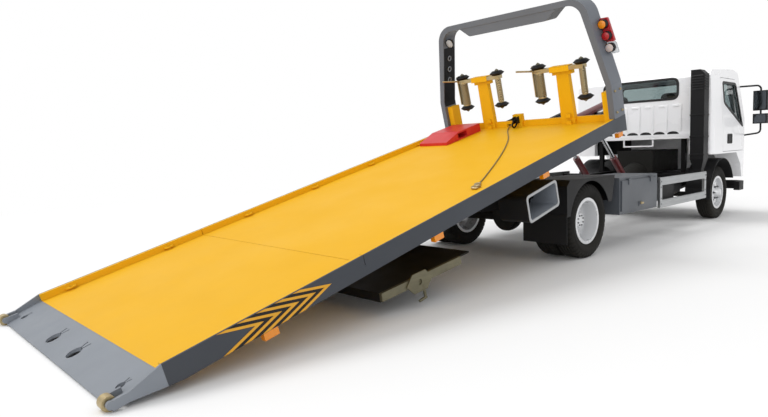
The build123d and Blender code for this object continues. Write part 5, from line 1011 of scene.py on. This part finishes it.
# Black sheets on the insides of both posts are painted shade, for the shaded inside of the left post
bm = bmesh.new()
for out in (-1, 1):
    for low, high in ((0.345, KNEE), (KNEE, 1.060)):
        outline = [(ARCH_REAR + 0.012, low), (ARCH_FRONT - 0.012, low), (ARCH_FRONT - 0.012, high),
                   (ARCH_REAR + 0.012, high)]
        add_prism(bm, [(x, out * inside_at(z), z) for x, z in outline], (0, out * -0.002, 0))
settle("arch_linings", bm, chassis_black, "bed", bed_pose)
ring_section = [(0.020, -0.001), (0.034, -0.001), (0.034, 0.006), (0.030, 0.009), (0.022, 0.006), (0.020, -0.001)]
bm = bmesh.new()
for height in (0.670, 0.800, 0.930):
    at = Vector((ARCH_MIDDLE, inside_at(height) - 0.002, height))
    add_lathe(bm, ring_section, facing(at, lean_way), 28)
# The rings take the lighter-painted copy of the grey enamel: painted light
settle("post_hole_rings", bm, tail_grey_painted_light, "bed", bed_pose)

work_at = Vector((ARCH_REAR + 0.060, post_at(1.110) - ARCH_WALL - 0.072, 1.110))
bm = bmesh.new()
add_lathe(bm, [(0, -0.046), (0.030, -0.042), (0.048, -0.014), (0.056, 0.004), (0.056, 0.018), (0.050, 0.020),
               (0.049, 0.012), (0, 0.012)], facing(work_at, (-1, 0, -0.25)), 36)
add_bar(bm, work_at, work_at + Vector((0, 0.078, 0.016)), 0.010)
settle("work_lamp_shell", bm, plastic_black, "bed", bed_pose)
bm = bmesh.new()
add_lathe(bm, [(0.049, 0.0125), (0.046, 0.017), (0.025, 0.021), (0, 0.022)], facing(work_at, (-1, 0, -0.25)), 36)
settle("work_lamp_lens", bm, clear_lens, "bed", bed_pose)
print("arch: 6 lamps,", len(bolt_spots), "bolts")

# %% [markdown]
# Five amber chevrons on each rail warn traffic. They are cut from film, lie on a black ground and
# point ahead, with arms as high as the rail.

# %% Chevrons
RAIL_FACE = 1.145
APEX_FIRST, APEX_STEP, STRIPE, ARM = 4.132, 0.127, 0.060, 0.228
RAIL_TOP, APEX_H, RAIL_LOW = 0.050, -0.014, -0.083
bm = bmesh.new()
stripe_outline = [(0, APEX_H), (-ARM, RAIL_TOP), (-ARM - STRIPE, RAIL_TOP), (-STRIPE, APEX_H),
                  (-ARM - STRIPE, RAIL_LOW), (-ARM, RAIL_LOW)]
add_prism(bm, [(x, -0.0002, z) for x, z in stripe_outline], (0, 0.0008, 0))
chevron_spots = [((-APEX_FIRST - APEX_STEP * row, side * (RAIL_FACE + 0.0012) - 0.0002, 0), (0, 0, 1))
                 for side in (-1, 1) for row in range(5)]
copies("rail_chevrons", bm, chevron_spots, film_amber, "bed", bed_pose)
front, back = -APEX_FIRST, -APEX_FIRST - 4 * APEX_STEP - STRIPE
ground_outline = [(front, APEX_H), (front - ARM, RAIL_TOP), (back - ARM, RAIL_TOP), (back, APEX_H),
                  (back - ARM, RAIL_LOW), (front - ARM, RAIL_LOW)]
bm = bmesh.new()
for side in (-1, 1):
    add_prism(bm, [(x, side * (RAIL_FACE + 0.0004) - 0.0003, z) for x, z in ground_outline], (0, 0.0006, 0))
settle("chevron_grounds", bm, film_black, "bed", bed_pose)
print("chevrons:", len(chevron_spots))

# %% [markdown]
# The wheel dollies hang on their posts. Their wide arm carries a knurled sleeve beside a slotted
# plate, the pads turn on bolts, and a thin lever sticks out at the top.

# %% Dolly details
HANG = 0.6003
DOLLY_AT = -0.132
POSTS = (0.540, -0.540)
ARM_SPREAD = 0.260
bm = bmesh.new()
for middle in POSTS:
    knurls = [(0.0455, 0.335)]
    for ring in range(26):
        low = 0.337 + 0.010 * ring
        knurls += [(0.0510, low), (0.0510, low + 0.005), (0.0470, low + 0.0068), (0.0470, low + 0.0082)]
    knurls += [(0.0455, 0.598), (0.0455, 0.335)]
    add_lathe(bm, knurls, Matrix.Translation((DOLLY_AT, middle + ARM_SPREAD, 0)), 32)
    add_lathe(bm, [(0.0303, 0.335), (0.0350, 0.337), (0.0350, 0.596), (0.0303, 0.598), (0.0303, 0.335)],
              Matrix.Translation((DOLLY_AT, middle - ARM_SPREAD, 0)), 32)
settle("dolly_sleeves", bm, knurled_zinc, "bed", bed_pose)
bm = bmesh.new()
for middle in POSTS:
    plate_y = middle + ARM_SPREAD + 0.062
    outline = [(DOLLY_AT - 0.030, 0.345), (DOLLY_AT + 0.012, 0.330), (DOLLY_AT + 0.030, 0.400),
               (DOLLY_AT + 0.030, 0.690), (DOLLY_AT - 0.030, 0.690)]
    add_prism(bm, [(x, plate_y, z) for x, z in outline], (0, 0.011, 0))
    add_block(bm, (DOLLY_AT - 0.020, DOLLY_AT + 0.046), (middle + ARM_SPREAD + 0.0205, plate_y + 0.001),
              (0.604, 0.640))
    add_bar(bm, (DOLLY_AT - 0.005, middle + 0.300, 0.628), (DOLLY_AT - 0.175, middle + 0.440, 0.672), 0.010)
settle("dolly_plates", bm, zinc_plate, "bed", bed_pose, edge_mm=2)
bm = bmesh.new()
for middle in POSTS:
    outline = [(-0.1585, HANG - 0.010), (-0.1585, HANG + 0.052), (-0.060, HANG + 0.052), (-0.060, HANG + 0.001),
               (-0.0655, HANG + 0.001), (-0.0655, HANG + 0.0455), (-0.1525 - 0.005, HANG + 0.0455),
               (-0.1525 - 0.005, HANG - 0.010)]
    add_prism(bm, [(x, middle - 0.118, z) for x, z in outline], (0, 0.236, 0))
settle("post_saddles", bm, deck_yellow, "bed", bed_pose, edge_mm=2)
pad_spots = []
for middle in POSTS:
    for across_by in (ARM_SPREAD, -ARM_SPREAD):
        pad_spots.append(((DOLLY_AT, middle + across_by, 0.6968), (0, 0, 1)))
        pad_spots.append(((DOLLY_AT, middle + across_by, 0.2677), (0, 0, -1)))
copies("dolly_pad_bolts", nut_shape(0.022, 0.014, 0.010), pad_spots, aged_zinc, "bed", bed_pose)

bm = bmesh.new()
for y in (0.096, 0.144):
    add_block(bm, (-0.165, -0.101), (y - 0.005, y + 0.005), (0.050, 0.130))
add_bar(bm, (-0.145, 0.080, 0.092), (-0.145, 0.160, 0.092), 0.010)
ring_section = [(0.044 + 0.010 * math.cos(math.tau * k / 10), 0.010 * math.sin(math.tau * k / 10))
                for k in range(11)]
add_lathe(bm, ring_section, facing((-0.172, 0.120, 0.058), (0, 1, 0.2)), 28)
settle("deck_clevis", bm, chassis_black, "bed", bed_pose, edge_mm=2)
print("dollies: sleeves, plates and", len(pad_spots), "pad bolts")

# %% [markdown]
# Along the chassis: a latch on the toolbox lid, ribs on the aluminium guards and the rivets that
# hold them to their posts.

# %% Toolbox latch and guard ribs
lid_low, lid_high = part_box("toolbox_lid")
latch_x = (lid_low.x + lid_high.x) / 2
bm = bmesh.new()
add_lathe(bm, [(0, 0.016), (0.012, 0.015), (0.015, 0.010), (0.015, 0.0), (0, 0.0)],
          facing((latch_x, -1.0578, 0.478), (0, -1, 0)), 24)
add_block(bm, (latch_x - 0.034, latch_x + 0.034), (-1.0780, -1.0730), (0.468, 0.488))
add_bar(bm, (latch_x, -1.072, 0.478), (latch_x, -1.0745, 0.478), 0.010)
settle("toolbox_latch", bm, zinc_plate, "toolbox_lid", edge_mm=2)

# Side trays: black outside, with a bright frame round the mouth, a bright lining and dark bars at the back
TRAY_MOUTH, TRAY_BACK = 1.100, 0.8155
tray = [(pivot.x - 0.170, 0.530), (pivot.x + 0.340, 0.530), (pivot.x + 0.340, 0.786), (pivot.x - 0.170, 0.786)]
mouth, rim = rounded(inset(tray, 0.0255), 0.030), rounded(inset(tray, 0.0010), 0.045)
throat = rounded(inset(tray, 0.0290), 0.028)
bm = bmesh.new()
linings = bmesh.new()
bars = bmesh.new()
for out in (-1, 1):
    add_ring(bm, [(x, out * TRAY_MOUTH, z) for x, z in rim], [(x, out * TRAY_MOUTH, z) for x, z in mouth],
             (0, out * 0.006, 0))
    add_ring(linings, [(x, out * TRAY_MOUTH, z) for x, z in mouth], [(x, out * TRAY_MOUTH, z) for x, z in throat],
             (0, out * (TRAY_BACK - TRAY_MOUTH), 0))
    for at in range(5):
        x = pivot.x - 0.080 + 0.080 * at
        add_bar(bars, (x, out * 0.830, 0.560), (x, out * 0.830, 0.756), 0.008, 10)
    for z in (0.610, 0.700):
        add_bar(bars, (pivot.x - 0.140, out * 0.846, z), (pivot.x + 0.310, out * 0.846, z), 0.008, 10)
settle("tray_frames", bm, drawn_aluminium, "tilt_frame", tilt_pose, edge_mm=1)
# The linings take the lighter-painted copy of the grey enamel: painted light
settle("tray_linings", linings, tail_grey_painted_light, "tilt_frame", tilt_pose)
settle("tray_bars", bars, chassis_black, "tilt_frame", tilt_pose)

guard_low, guard_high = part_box("side_guards")
bm = bmesh.new()
for out in (-1, 1):
    for rail_z in (0.365, 0.638):
        for share in (0.28, 0.72):
            z = rail_z + 0.092 * share
            add_block(bm, (guard_low.x + 0.002, guard_high.x - 0.002),
                      tuple(sorted((out * 1.0495, out * 1.0545))), (z - 0.012, z + 0.012))
settle("guard_ribs", bm, drawn_aluminium, "chassis", edge_mm=3)
rivet = bmesh.new()
add_lathe(rivet, [(0.009, 0.0), (0.008, 0.003), (0.004, 0.005), (0, 0.0055)], level, 14)
rivet_spots = []
for out in (-1, 1):
    for x in (guard_low.x + 0.030, guard_high.x - 0.030):
        for z in (0.411, 0.480, 0.615, 0.684):
            rivet_spots.append(((x, out * 1.0500, z), (0, out, 0)))
copies("guard_rivets", rivet, rivet_spots, forged_steel, "chassis")
print("guards:", len(rivet_spots), "rivets")

# %% [markdown]
# The seats are foam under woven cloth: crowned cushions whose sides pull in between the corners,
# with sewn channels. Each is a rounded box pushed into that form point by point.

# %% Seats
CHANNELS = (-0.33, 0.0, 0.33)


def add_cushion(bm, low, high, crown_axis, crown):
    """A stuffed block between two corners, crowned along one axis, with sewn channels across it."""
    steps = 14
    middle, half = (Vector(low) + Vector(high)) / 2, (Vector(high) - Vector(low)) / 2
    made = bmesh.new()
    bmesh.ops.create_cube(made, size=2.0)
    bmesh.ops.subdivide_edges(made, edges=made.edges[:], cuts=steps, use_grid_fill=True)
    others = [axis for axis in range(3) if axis != crown_axis]
    found = {}
    for vertex in made.verts:
        spot = vertex.co.copy()
        lengths = [abs(c) ** 6 for c in spot]
        spot = spot / (sum(lengths) ** (1 / 6))
        swell = math.cos(spot[others[0]] * math.pi / 2) * math.cos(spot[others[1]] * math.pi / 2)
        spot[crown_axis] *= 1.0 - crown + crown * swell
        for axis in others:
            spot[axis] *= 1.0 - 0.03 * (1 - abs(spot[others[0] + others[1] - axis]) ** 2)
        sewn = sum(math.exp(-((spot.y - at) / 0.035) ** 2) for at in CHANNELS)
        if abs(spot[crown_axis]) > 0.4:
            spot[crown_axis] *= 1.0 - 0.10 * sewn
        found[vertex] = bm.verts.new(middle + Vector(spot[axis] * half[axis] for axis in range(3)))
    for polygon in made.faces:
        bm.faces.new([found[vertex] for vertex in polygon.verts])
    made.free()


bm = bmesh.new()
for y in (0.480, -0.480):
    add_cushion(bm, (cab_rear_x + 0.225, y - 0.235, 1.2655), (cab_rear_x + 0.680, y + 0.235, 1.390), 2, 0.28)
    add_cushion(bm, (cab_rear_x + 0.110, y - 0.230, 1.330), (cab_rear_x + 0.225, y + 0.230, 1.880), 0, 0.30)
seats = settle("seat_cushions", bm, seat_cloth, "cab")
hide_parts("seats")
print("seats: two cushions and two backs")
